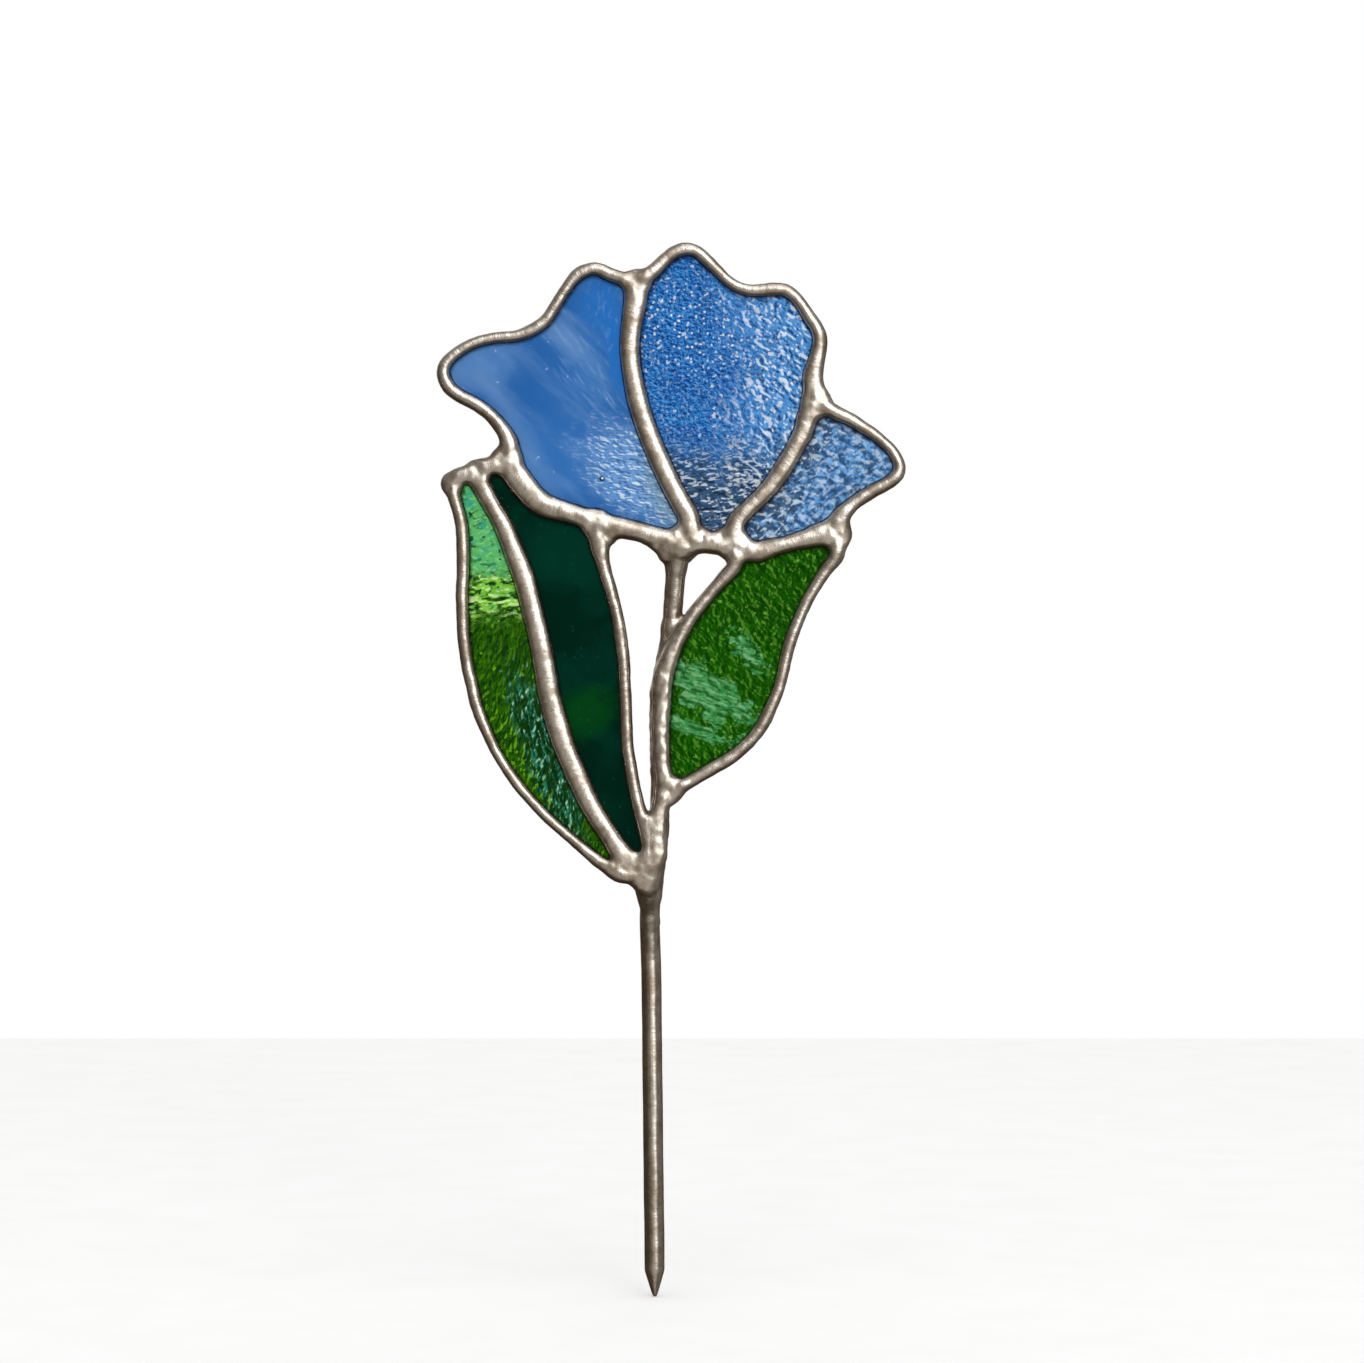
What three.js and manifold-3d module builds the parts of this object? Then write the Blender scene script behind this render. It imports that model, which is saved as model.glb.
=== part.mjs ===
// A stained-glass flower on a garden stake: six panes of coloured glass, each edged with
// copper foil tape, joined by one network of rounded solder beads and carried on a rod.
// Millimetres, +Z up, the flower faces -Y, and the origin is the rod's pointed tip.

import * as THREE from 'three';
import { mergeVertices } from 'three/addons/utils/BufferGeometryUtils.js';
import Module from 'manifold-3d';

const wasm = await Module();
wasm.setup();

// --- Driving dimensions -------------------------------------------------------------

const GLASS_THICKNESS = 3.0;
const FOIL_THICKNESS = 0.25; // real tape is 0.04 thick, too thin for a solid of its own
const FOIL_LIP = 1.25; // how far the tape folds over each face of the glass
const FIT_GAP = 0.25; // between the edges of glass, tape and solder

const SEAM_WIDTH = 4.0; // bead between two panes
const RIM_WIDTH = 2.5; // bead round the outside of a pane
const TIP_WIDTH = 3.6; // heavier outside bead across the top of the left leaf
const SEAM_CUT = 1.0; // from a seam's centre-line to the glass on each side
const BEAD_RISE = 1.05; // crown of a bead above the tape
const DROP_RISE = 1.5; // crown of the drops where beads meet
const BEAD_SINK = 0.45; // share of a drop's radius where a bead's buried end lies
const DROP_LAP = 0.4; // how far a drop covers the corner of a pane
const DROP_SIDES = 12;

const ROD_DIAMETER = 4.0;
const ROD_POINT_LENGTH = 5.3;
const ROD_POINT_RADIUS = 0.35;
const ROD_BEHIND_FOIL = 0.15;
const ROD_SIDES = 12;
const ROD_STEPS = 26;

// --- Levels across the thickness, worked out from the dimensions ---------------------

const GLASS_FACE = GLASS_THICKNESS / 2;
const FOIL_FACE = GLASS_FACE + FOIL_THICKNESS;
const ROD_RADIUS = ROD_DIAMETER / 2;
const ROD_DEPTH = FOIL_FACE + ROD_BEHIND_FOIL + ROD_RADIUS; // Y of its axis, behind the panes

// --- The pattern: joints, and the beads that run between them -------------------------

// Where beads meet: [x, z], and the radius of the drop of solder there.
const JOINTS = {
  crownValley: { at: [-3.6, 203.1], drop: 2.5 },
  sideValley: { at: [32.2, 179.3], drop: 2.9 },
  calyxLeft: { at: [6.0, 151.4], drop: 3.5 },
  calyxRight: { at: [16.0, 150.7], drop: 3.1 },
  leafShoulder: { at: [-11.8, 154.9], drop: 2.5 },
  petalTip: { at: [36.2, 152.9], drop: 2.8 },
  petalFoot: { at: [-29.4, 167.7], drop: 2.7 },
  leafTip: { at: [-40.6, 163.1], drop: 1.9 },
  ribTop: { at: [-35.4, 165.1], drop: 2.1 },
  base: { at: [-2.0, 85.3], drop: 3.3 },
  leafFoot: { at: [2.4, 102.3], drop: 2.6 },
};

// Each bead passes through its [x, z] points, or [x, z, width] where the width changes.
const BEADS = {
  leftPetalRim: {
    from: 'crownValley', to: 'petalFoot', width: RIM_WIDTH, cut: 0,
    through: [
      [-8.4, 204.6], [-12.2, 206.0], [-15.0, 205.1], [-17.8, 201.9], [-22.0, 195.5],
      [-25.3, 193.4], [-33.0, 192.0], [-37.7, 190.4], [-41.7, 187.2], [-42.3, 185.2],
      [-41.1, 182.4], [-35.8, 179.0], [-33.1, 177.1], [-31.2, 175.0, 2.9], [-29.1, 171.2, 3.8],
    ],
  },
  middlePetalRim: {
    from: 'crownValley', to: 'sideValley', width: RIM_WIDTH, cut: 0,
    through: [
      [-0.1, 205.7, 3.0], [3.6, 209.1], [6.5, 209.9], [8.4, 209.4], [14.2, 203.9],
      [18.7, 201.7], [26.0, 201.7], [29.5, 198.4], [32.3, 194.1], [32.9, 191.0, 2.9],
      [31.5, 184.5, 4.2],
    ],
  },
  rightPetalRim: {
    from: 'sideValley', to: 'petalTip', width: RIM_WIDTH, cut: 0,
    through: [
      [36.8, 176.9, 2.9], [43.3, 173.2], [47.3, 169.7], [48.8, 166.6], [47.8, 164.2],
      [39.8, 159.3, 2.7], [36.9, 156.1, 4.0],
    ],
  },
  petalSeam: {
    from: 'crownValley', to: 'calyxLeft', width: SEAM_WIDTH, cut: SEAM_CUT,
    through: [
      [-4.0, 198.9, 4.6], [-4.9, 192.9], [-4.7, 186.3], [-3.4, 179.5], [-1.0, 172.3],
      [2.1, 165.2], [5.5, 158.7],
    ],
  },
  rightPetalSeam: {
    from: 'sideValley', to: 'calyxRight', width: SEAM_WIDTH, cut: SEAM_CUT,
    through: [[29.6, 173.5], [24.9, 165.1], [20.7, 160.1, 3.4], [16.2, 155.7]],
  },
  leafSeam: {
    from: 'petalFoot', to: 'leafShoulder', width: SEAM_WIDTH, cut: SEAM_CUT,
    through: [[-28.0, 165.1, 5.4], [-24.5, 160.7, 5.0], [-20.4, 158.2, 4.4], [-15.4, 156.7]],
  },
  calyxArm: {
    from: 'leafShoulder', to: 'calyxLeft', width: SEAM_WIDTH, cut: SEAM_CUT,
    through: [[-8.6, 154.7], [-3.0, 153.5], [1.8, 151.7, 4.8]],
  },
  calyxBridge: {
    from: 'calyxLeft', to: 'calyxRight', width: 4.4, cut: SEAM_CUT,
    through: [[11.0, 151.4]],
  },
  rightLeafSeam: {
    from: 'calyxRight', to: 'petalTip', width: SEAM_WIDTH, cut: SEAM_CUT,
    through: [[20.0, 149.5, 4.4], [23.2, 150.3, 3.5], [28.3, 151.6, 3.5], [33.0, 152.9, 5.0]],
  },
  leafTopInner: {
    from: 'petalFoot', to: 'ribTop', width: TIP_WIDTH, cut: 0.3,
    through: [[-32.0, 166.8]],
  },
  leafTopOuter: {
    from: 'ribTop', to: 'leafTip', width: TIP_WIDTH, cut: 0.3,
    through: [[-38.0, 164.5]],
  },
  leftLeafOuterRim: {
    from: 'leafTip', to: 'base', width: RIM_WIDTH, cut: 0,
    through: [
      [-40.1, 160.5], [-38.7, 155.3], [-38.3, 149.5], [-38.2, 132.5], [-35.8, 119.4],
      [-30.3, 107.3], [-21.7, 96.7], [-9.8, 86.7], [-7.0, 84.9],
    ],
  },
  leftLeafRib: {
    from: 'ribTop', to: 'base', width: SEAM_WIDTH, cut: SEAM_CUT,
    through: [
      [-33.8, 161.1], [-31.1, 156.3, 3.6], [-26.4, 145.0, 4.3], [-22.4, 128.4, 4.3],
      [-21.2, 121.3, 4.4], [-19.0, 113.3, 4.5], [-15.7, 104.9, 4.3], [-11.4, 96.4],
      [-7.1, 89.9],
    ],
  },
  leftLeafInnerRim: {
    from: 'leafShoulder', to: 'base', width: RIM_WIDTH, cut: 0,
    through: [
      [-11.2, 150.9, 3.6], [-9.8, 144.9], [-7.7, 137.3], [-6.1, 123.9], [-4.8, 106.2],
      [-1.4, 90.9],
    ],
  },
  rightLeafInnerRim: {
    from: 'calyxRight', to: 'leafFoot', width: 2.7, cut: 0,
    through: [
      [14.2, 144.7, 3.0], [10.3, 140.2], [6.6, 135.3], [3.9, 130.3, 3.0], [2.8, 124.7],
      [1.5, 115.9], [1.7, 108.5],
    ],
  },
  rightLeafOuterRim: {
    from: 'petalTip', to: 'leafFoot', width: RIM_WIDTH, cut: 0,
    through: [
      [36.2, 148.6, 3.0], [33.0, 144.2], [30.1, 139.2], [25.5, 125.4], [23.3, 118.9],
      [20.0, 112.9], [14.2, 107.8], [5.4, 102.8],
    ],
  },
  rodFillet: {
    from: 'leafFoot', to: 'base', width: 3.3, cut: 0,
    through: [[0.9, 98.5], [0.9, 91.0]],
  },
};

// Each pane is the cell inside a ring of beads, listed in order round it.
const PANES = {
  petal_left: {
    ring: ['petalSeam', 'calyxArm', 'leafSeam', 'leftPetalRim'],
    colour: 0x3f78b4,
  },
  petal_middle: {
    ring: ['middlePetalRim', 'rightPetalSeam', 'calyxBridge', 'petalSeam'],
    colour: 0x1f5aa6,
  },
  petal_right: {
    ring: ['rightPetalRim', 'rightLeafSeam', 'rightPetalSeam'],
    colour: 0x6d9cc8,
  },
  leaf_left_outer: {
    ring: ['leftLeafRib', 'leftLeafOuterRim', 'leafTopOuter'],
    colour: 0x5c9a4c,
  },
  leaf_left_inner: {
    ring: ['leafTopInner', 'leafSeam', 'leftLeafInnerRim', 'leftLeafRib'],
    colour: 0x17403a,
  },
  leaf_right: {
    ring: ['rightLeafSeam', 'rightLeafOuterRim', 'rightLeafInnerRim'],
    colour: 0x4f9148,
  },
};

// The rod's axis as [x, z], from the tip up to its buried top end behind the calyx.
const ROD_AXIS = [
  [-0.1, 5.3], [-0.4, 32.0], [-0.8, 66.0], [-1.0, 78.5], [0.0, 87.0], [0.8, 95.0], [1.1, 104.0],
  [1.2, 121.5], [2.4, 128.5], [3.3, 134.5], [3.8, 140.7], [4.2, 147.5], [4.6, 151.5],
];
const SADDLE_SPAN = [78.5, 131.0]; // Z range where solder joins the rod to the panes
const SADDLE_RADIUS = 2.25;
const SADDLE_DEPTH = 2.4; // Y of the saddle's axis
const SADDLE_STEPS = 16;
// Larger drops that hold the rod at its top end and where it leaves the flower: half sizes.
const GRIPS = [
  { at: [5.0, 150.2], depth: 3.2, half: [3.3, 2.6, 3.3] },
  { at: [-1.1, 82.3], depth: 2.4, half: [2.7, 3.0, 5.0] },
];

// How finely curves are followed: a new point after this much turn or this much length.
const TURN_STEP = THREE.MathUtils.degToRad(14);
const LENGTH_STEP = 9.0;
const FINE_STEP = 0.5;
const MERGE_TOLERANCE = 1e-5;

// --- Small tools ------------------------------------------------------------------------

/** Turns a closed geometry into a solid that can be cut and joined. */
function toSolid(geometry) {
  geometry.deleteAttribute('normal');
  geometry.deleteAttribute('uv');
  const merged = mergeVertices(geometry, MERGE_TOLERANCE);
  return new wasm.Manifold(new wasm.Mesh({
    numProp: 3,
    vertProperties: new Float32Array(merged.attributes.position.array),
    triVerts: new Uint32Array(merged.index.array),
  }));
}

/** Turns a solid back into a geometry. */
function toGeometry(solid) {
  const { vertProperties, triVerts } = solid.getMesh();
  const geometry = new THREE.BufferGeometry();
  geometry.setAttribute('position', new THREE.BufferAttribute(vertProperties, 3));
  geometry.setIndex(new THREE.BufferAttribute(triVerts, 1));
  geometry.computeVertexNormals();
  return geometry;
}

const joinAll = (solids) => solids.reduce((whole, solid) => whole.add(solid));
const cutAll = (body, tools) => tools.reduce((rest, tool) => rest.subtract(tool), body);

/** An upright plate: the closed outline of [x, z] points, as thick as 2 * face. */
function plate(outline, face) {
  const shape = new THREE.Shape(outline.map(([x, z]) => new THREE.Vector2(x, z)));
  const geometry = new THREE.ExtrudeGeometry(shape, { depth: 2 * face, bevelEnabled: false });
  geometry.rotateX(Math.PI / 2).translate(0, face, 0);
  return toSolid(geometry);
}

/** A round plate about a joint. */
function disc([x, z], radius, face) {
  const geometry = new THREE.CylinderGeometry(radius, radius, 2 * face, DROP_SIDES);
  return toSolid(geometry.translate(x, 0, z));
}

/** A rounded drop of solder: an ellipsoid of the given half sizes. */
function drop({ at: [x, z], depth = 0, half }) {
  const geometry = new THREE.SphereGeometry(1, DROP_SIDES, DROP_SIDES / 2);
  return toSolid(geometry.scale(...half).translate(x, depth, z));
}

// --- Beads --------------------------------------------------------------------------------

/** Follows a bead's centre-line from joint to joint in small even steps. */
function trace({ from, to, width, through }) {
  const inner = through.map(([x, z, own = width]) => new THREE.Vector3(x, own, z));
  const end = (joint, next) => new THREE.Vector3(joint.at[0], next.y, joint.at[1]);
  const first = end(JOINTS[from], inner[0]);
  const last = end(JOINTS[to], inner[inner.length - 1]);
  const curve = new THREE.CatmullRomCurve3([first, ...inner, last], false, 'centripetal');
  return curve.getSpacedPoints(Math.ceil(curve.getLength() / FINE_STEP))
    .map(({ x, y, z }) => ({ x, z, width: y }));
}

/** Keeps the ends of a path, and a point wherever it has turned or run far enough. */
function thin(fine) {
  const kept = [fine[0]];
  let turned = 0;
  for (let i = 1; i < fine.length - 1; i += 1) {
    const [before, here, after] = [fine[i - 1], fine[i], fine[i + 1]];
    const arriving = new THREE.Vector2(here.x - before.x, here.z - before.z);
    const leaving = new THREE.Vector2(after.x - here.x, after.z - here.z);
    turned += Math.abs(arriving.angleTo(leaving));
    const { x, z } = kept[kept.length - 1];
    if (turned > TURN_STEP || Math.hypot(here.x - x, here.z - z) > LENGTH_STEP) {
      kept.push(here);
      turned = 0;
    }
  }
  return [...kept, fine[fine.length - 1]];
}

const TRACES = Object.fromEntries(
  Object.entries(BEADS).map(([name, line]) => [name, trace(line)]),
);
const PATHS = Object.fromEntries(
  Object.entries(TRACES).map(([name, fine]) => [name, thin(fine)]),
);

/** The unit normal at each point of a path, in the plane of the panes. */
function normalsOf(path) {
  return path.map((point, i) => {
    const before = path[Math.max(i - 1, 0)];
    const after = path[Math.min(i + 1, path.length - 1)];
    const along = new THREE.Vector2(after.x - before.x, after.z - before.z).normalize();
    return { x: -along.y, z: along.x };
  });
}

/** A flat strip of constant width along a path, for growing or cutting back an outline. */
function strip(path, halfWidth, face) {
  const normals = normalsOf(path);
  const side = (sign) => path.map(({ x, z }, i) => [
    x + sign * halfWidth * normals[i].x,
    z + sign * halfWidth * normals[i].z,
  ]);
  return plate([...side(1), ...side(-1).reverse()], face);
}

// Half of a bead's section, front or back: [share of the half width, share of the rise].
const DOME = [[1, -0.45], [0.68, 0.7], [0, 1], [-0.68, 0.7], [-1, -0.45]];

/** The part of a bead's path outside its joints: its ends lie just inside their drops. */
function betweenDrops(name) {
  const ends = [JOINTS[BEADS[name].from], JOINTS[BEADS[name].to]];
  return thin(TRACES[name].filter(({ x, z }) => ends.every(({ at, drop: radius }) => (
    Math.hypot(x - at[0], z - at[1]) > BEAD_SINK * radius
  ))));
}

/** A solid bead along a path, domed in front and behind. */
function bead(path) {
  const normals = normalsOf(path);
  const level = (share) => FOIL_FACE + share * BEAD_RISE;
  const section = [
    ...DOME.map(([u, share]) => [u, level(share)]),
    ...DOME.map(([u, share]) => [-u, -level(share)]),
  ];
  const sides = section.length;
  const positions = path.flatMap(({ x, z, width }, i) => section.flatMap(([u, y]) => [
    x + (normals[i].x * u * width) / 2,
    y,
    z + (normals[i].z * u * width) / 2,
  ]));
  const faces = [];
  for (let ring = 0; ring + 1 < path.length; ring += 1) {
    for (let i = 0; i < sides; i += 1) {
      const a = ring * sides + i;
      const b = ring * sides + ((i + 1) % sides);
      faces.push(a, a + sides, b, b, a + sides, b + sides);
    }
  }
  const lastRing = (path.length - 1) * sides;
  for (let i = 1; i + 1 < sides; i += 1) {
    faces.push(0, i, i + 1, lastRing, lastRing + i + 1, lastRing + i);
  }
  const geometry = new THREE.BufferGeometry();
  geometry.setAttribute('position', new THREE.Float32BufferAttribute(positions, 3));
  geometry.setIndex(faces);
  return toSolid(geometry);
}

// --- Panes and their foil -------------------------------------------------------------------

/** The ring of centre-line points round a pane's cell, each joint once. */
function cellOutline(ring) {
  const starts = ring.map((name, i) => {
    const next = BEADS[ring[(i + 1) % ring.length]];
    const { from, to } = BEADS[name];
    return [next.from, next.to].includes(to) ? from : to;
  });
  return ring.flatMap((name, i) => {
    const path = PATHS[name].map(({ x, z }) => [x, z]);
    const forward = BEADS[name].from === starts[i];
    return (forward ? path : path.reverse()).slice(0, -1);
  });
}

/** A plate of the pane's outline, grown past the glass edge by grow, or shrunk if negative. */
function panePlate({ ring }, grow, face) {
  const past = face + 1;
  const growing = ring.filter((name) => BEADS[name].cut < grow);
  const cutting = ring.filter((name) => BEADS[name].cut > grow);
  const cell = plate(cellOutline(ring), face);
  const grown = joinAll([
    cell,
    ...growing.map((name) => strip(PATHS[name], grow - BEADS[name].cut, face)),
  ]);
  const joints = new Set(ring.flatMap((name) => [BEADS[name].from, BEADS[name].to]));
  const blunt = (name) => disc(JOINTS[name].at, JOINTS[name].drop - DROP_LAP - grow, past);
  return cutAll(grown, [
    ...cutting.map((name) => strip(PATHS[name], BEADS[name].cut - grow, past)),
    ...[...joints].map(blunt),
  ]);
}

const glassPane = (pane) => panePlate(pane, 0, GLASS_FACE);

/** The foil round a pane: a channel over its edge, with a lip on each face. */
function foilStrip(pane) {
  const outside = panePlate(pane, FIT_GAP + FOIL_THICKNESS, FOIL_FACE);
  const window = panePlate(pane, -FOIL_LIP, FOIL_FACE + 1);
  return outside.subtract(panePlate(pane, FIT_GAP, GLASS_FACE)).subtract(window);
}

/** The room that the solder leaves for a pane and its foil. */
const panePocket = (pane) => panePlate(pane, 2 * FIT_GAP + FOIL_THICKNESS, FOIL_FACE);

// --- Rod ------------------------------------------------------------------------------------

/** The rod's axis as a curve, at the given depth, its top end raised by extra. */
function rodCurve(depth, extra = 0) {
  const points = ROD_AXIS.map(([x, z]) => new THREE.Vector3(x, depth, z));
  points[points.length - 1].z += extra;
  return new THREE.CatmullRomCurve3(points, false, 'centripetal');
}

/** A round tube along a curve. */
function tube(curve, radius, sides, steps) {
  const circle = new THREE.Shape();
  circle.absarc(0, 0, radius, 0, 2 * Math.PI);
  return toSolid(new THREE.ExtrudeGeometry(circle, {
    curveSegments: sides / 2,
    steps,
    extrudePath: curve,
    bevelEnabled: false,
  }));
}

/** The sharpened lower end: a cone with a small round nose, in line with the rod. */
function rodPoint() {
  const overlap = 0.5;
  const nose = [25, 50, 75].map((degrees) => {
    const angle = THREE.MathUtils.degToRad(degrees);
    return new THREE.Vector2(
      ROD_POINT_RADIUS * Math.sin(angle),
      ROD_POINT_RADIUS * (1 - Math.cos(angle)),
    );
  });
  const profile = [
    new THREE.Vector2(0, 0),
    ...nose,
    new THREE.Vector2(ROD_RADIUS, ROD_POINT_LENGTH),
    new THREE.Vector2(ROD_RADIUS, ROD_POINT_LENGTH + overlap),
    new THREE.Vector2(0, ROD_POINT_LENGTH + overlap),
  ];
  const geometry = new THREE.LatheGeometry(profile, ROD_SIDES);
  return toSolid(geometry.rotateX(Math.PI / 2).translate(0, ROD_DEPTH, 0));
}

const rod = () => tube(rodCurve(ROD_DEPTH), ROD_RADIUS, ROD_SIDES, ROD_STEPS).add(rodPoint());

// --- Solder -----------------------------------------------------------------------------------

/** The solder behind the panes that hugs the front of the rod along their shared run. */
function saddle() {
  const [low, high] = SADDLE_SPAN;
  const route = rodCurve(SADDLE_DEPTH).getSpacedPoints(SADDLE_STEPS * 2)
    .filter(({ z }) => z > low && z < high);
  return tube(new THREE.CatmullRomCurve3(route), SADDLE_RADIUS, ROD_SIDES, SADDLE_STEPS);
}

/** The whole solder network, with room left for the panes in their foil and for the rod. */
function solderSeams() {
  const beads = Object.keys(BEADS).map((name) => bead(betweenDrops(name)));
  const drops = Object.values(JOINTS).map(({ at, drop: radius }) => (
    drop({ at, half: [radius, FOIL_FACE + DROP_RISE, radius] })
  ));
  const metal = joinAll([...beads, ...drops, ...GRIPS.map(drop), saddle()]);
  const rodRoom = tube(
    rodCurve(ROD_DEPTH, FIT_GAP), ROD_RADIUS + FIT_GAP, ROD_SIDES, ROD_STEPS,
  );
  return cutAll(metal, [...Object.values(PANES).map(panePocket), rodRoom]);
}

// --- The object ---------------------------------------------------------------------------------

const copper = new THREE.MeshStandardMaterial({ color: 0x3a2418, roughness: 0.5, metalness: 1 });
const solder = new THREE.MeshStandardMaterial({ color: 0xb4aca4, roughness: 0.3, metalness: 1 });
const tinned = new THREE.MeshStandardMaterial({ color: 0xa89f97, roughness: 0.35, metalness: 1 });
const glassOf = (colour) => new THREE.MeshStandardMaterial({
  color: colour, roughness: 0.12, metalness: 0, transparent: true, opacity: 0.85,
});

/** A named mesh of a solid. */
function piece(name, solid, material) {
  const mesh = new THREE.Mesh(toGeometry(solid), material);
  mesh.name = name;
  return mesh;
}

// The flower stands in front of the rod, so that the rod's axis is over the origin.
const flower = new THREE.Group();
flower.position.y = -ROD_DEPTH;
for (const [name, pane] of Object.entries(PANES)) {
  flower.add(piece(`glass_${name}`, glassPane(pane), glassOf(pane.colour)));
  flower.add(piece(`foil_${name}`, foilStrip(pane), copper));
}
flower.add(piece('solder_seams', solderSeams(), solder));
flower.add(piece('stake_rod', rod(), tinned));

const group = new THREE.Group();
group.add(flower);

export default group;
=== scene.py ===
"""Looks for a stained-glass flower garden stake.

Three petals and a pair of leaves, cut from six sheets of coloured art glass, are held by one
fused network of solder beads over copper foil. A tinned rod with a ground point is soldered
behind the right leaf and carries the flower.

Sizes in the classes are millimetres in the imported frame: X to the right, Y away from the
viewer and Z up from the point of the rod. Meshes are made in metres.
"""

import logging
import math
from collections.abc import Sequence
from dataclasses import dataclass, field
from enum import Enum
from itertools import product

import bpy
import numpy as np
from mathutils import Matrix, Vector, noise
from mathutils.geometry import delaunay_2d_cdt

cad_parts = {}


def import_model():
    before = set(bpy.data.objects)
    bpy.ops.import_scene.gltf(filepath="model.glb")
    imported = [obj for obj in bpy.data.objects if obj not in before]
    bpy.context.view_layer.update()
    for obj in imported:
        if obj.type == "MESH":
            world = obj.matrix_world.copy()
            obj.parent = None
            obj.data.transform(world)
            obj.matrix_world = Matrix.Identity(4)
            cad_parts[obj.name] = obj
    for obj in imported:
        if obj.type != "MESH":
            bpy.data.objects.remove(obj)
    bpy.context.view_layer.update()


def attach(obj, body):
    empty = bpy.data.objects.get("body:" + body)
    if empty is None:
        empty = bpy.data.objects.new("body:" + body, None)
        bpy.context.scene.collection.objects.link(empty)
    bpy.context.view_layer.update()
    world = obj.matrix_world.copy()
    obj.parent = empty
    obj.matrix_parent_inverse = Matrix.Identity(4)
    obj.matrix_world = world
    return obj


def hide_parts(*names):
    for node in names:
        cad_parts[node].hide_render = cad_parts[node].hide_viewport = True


LOG = logging.getLogger("flower_stake")

MM = 0.001
BODY = "root"

PANE_MIDDLE = -3.9  # Y of the middle of the glass; the rod's own axis lies at Y = 0
GLASS_HALF = 1.5
FOIL_HALF = 1.75
NO_REACH = 9.0  # stands for "far from any bead"
NOWHERE = (0.0, 0.0, 0.0)

Colour = tuple[float, float, float]
Socket = bpy.types.NodeSocket


# ---------------------------------------------------------------------------- curves


def follow(points: Sequence[Sequence[float]], step: float) -> np.ndarray:
    """Run one smooth curve through rows whose first two numbers are x and z.

    Args:
        points: Rows of x, z and any further values, such as a width.
        step: Distance between the samples, in millimetres.

    Returns:
        The sampled rows.
    """
    rows = np.array(points, float)
    gaps = np.hypot(*np.diff(rows[:, :2], axis=0).T)
    at = np.concatenate([[0.0], np.cumsum(gaps)])
    slope = np.gradient(rows, at, axis=0)
    fine = np.linspace(0.0, at[-1], max(3, int(at[-1] / step) + 1))
    k = np.clip(np.searchsorted(at, fine, side="right") - 1, 0, len(at) - 2)
    h = (at[k + 1] - at[k])[:, None]
    t = (fine - at[k])[:, None] / h
    return (
        (1 + 2 * t) * (1 - t) ** 2 * rows[k]
        + t * (1 - t) ** 2 * h * slope[k]
        + t * t * (3 - 2 * t) * rows[k + 1]
        + t * t * (t - 1) * h * slope[k + 1]
    )


def soft_min(a: np.ndarray, b: np.ndarray, blend: float) -> np.ndarray:
    """Join two distance values with a fillet, as molten solder does.

    Args:
        a: First distances.
        b: Second distances.
        blend: Reach of the fillet, in millimetres.

    Returns:
        The joined distances.
    """
    share = np.clip(blend - np.abs(a - b), 0.0, None) / blend
    return np.minimum(a, b) - share * share * blend * 0.25


def ease(x: np.ndarray, low: float, high: float) -> np.ndarray:
    """Rise smoothly from 0 at low to 1 at high.

    Args:
        x: Values.
        low: Where the rise starts.
        high: Where it ends.

    Returns:
        Values from 0 to 1.
    """
    t = np.clip((x - low) / (high - low), 0.0, 1.0)
    return t * t * (3 - 2 * t)


def ring_area(ring: np.ndarray) -> float:
    """Signed area of a closed ring of x, z points, positive when it runs anticlockwise."""
    x, z = ring[:, 0], ring[:, 1]
    return 0.5 * float(np.sum(x * np.roll(z, -1) - np.roll(x, -1) * z))


def ring_holds(ring: np.ndarray, points: np.ndarray) -> np.ndarray:
    """Tell which points lie inside a closed ring.

    Args:
        ring: Corners of the ring, as x and z.
        points: Points to test, as x and z.

    Returns:
        One truth value for each point.
    """
    inside = np.zeros(len(points), bool)
    x, z = points[:, 0], points[:, 1]
    for (x0, z0), (x1, z1) in zip(ring, np.roll(ring, -1, axis=0)):
        if z0 != z1:
            crosses = (z0 > z) != (z1 > z)
            inside ^= crosses & (x < (x1 - x0) * (z - z0) / (z1 - z0) + x0)
    return inside


def even_ring(ring: np.ndarray, step: float) -> np.ndarray:
    """Space the points of a closed ring evenly.

    Args:
        ring: Corners of the ring.
        step: Distance wanted between points, in millimetres.

    Returns:
        The new ring.
    """
    closed = np.vstack([ring, ring[:1]])
    at = np.concatenate([[0.0], np.cumsum(np.hypot(*np.diff(closed, axis=0).T))])
    fine = np.linspace(0.0, at[-1], int(at[-1] / step), endpoint=False)
    return np.column_stack([np.interp(fine, at, closed[:, i]) for i in (0, 1)])


def ring_normals(ring: np.ndarray) -> np.ndarray:
    """Outward unit normals of an anticlockwise ring.

    Args:
        ring: Corners of the ring.

    Returns:
        One normal for each corner.
    """
    along = np.roll(ring, -1, axis=0) - np.roll(ring, 1, axis=0)
    out = np.column_stack([along[:, 1], -along[:, 0]])
    return out / np.maximum(np.hypot(*out.T), 1e-9)[:, None]


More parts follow.
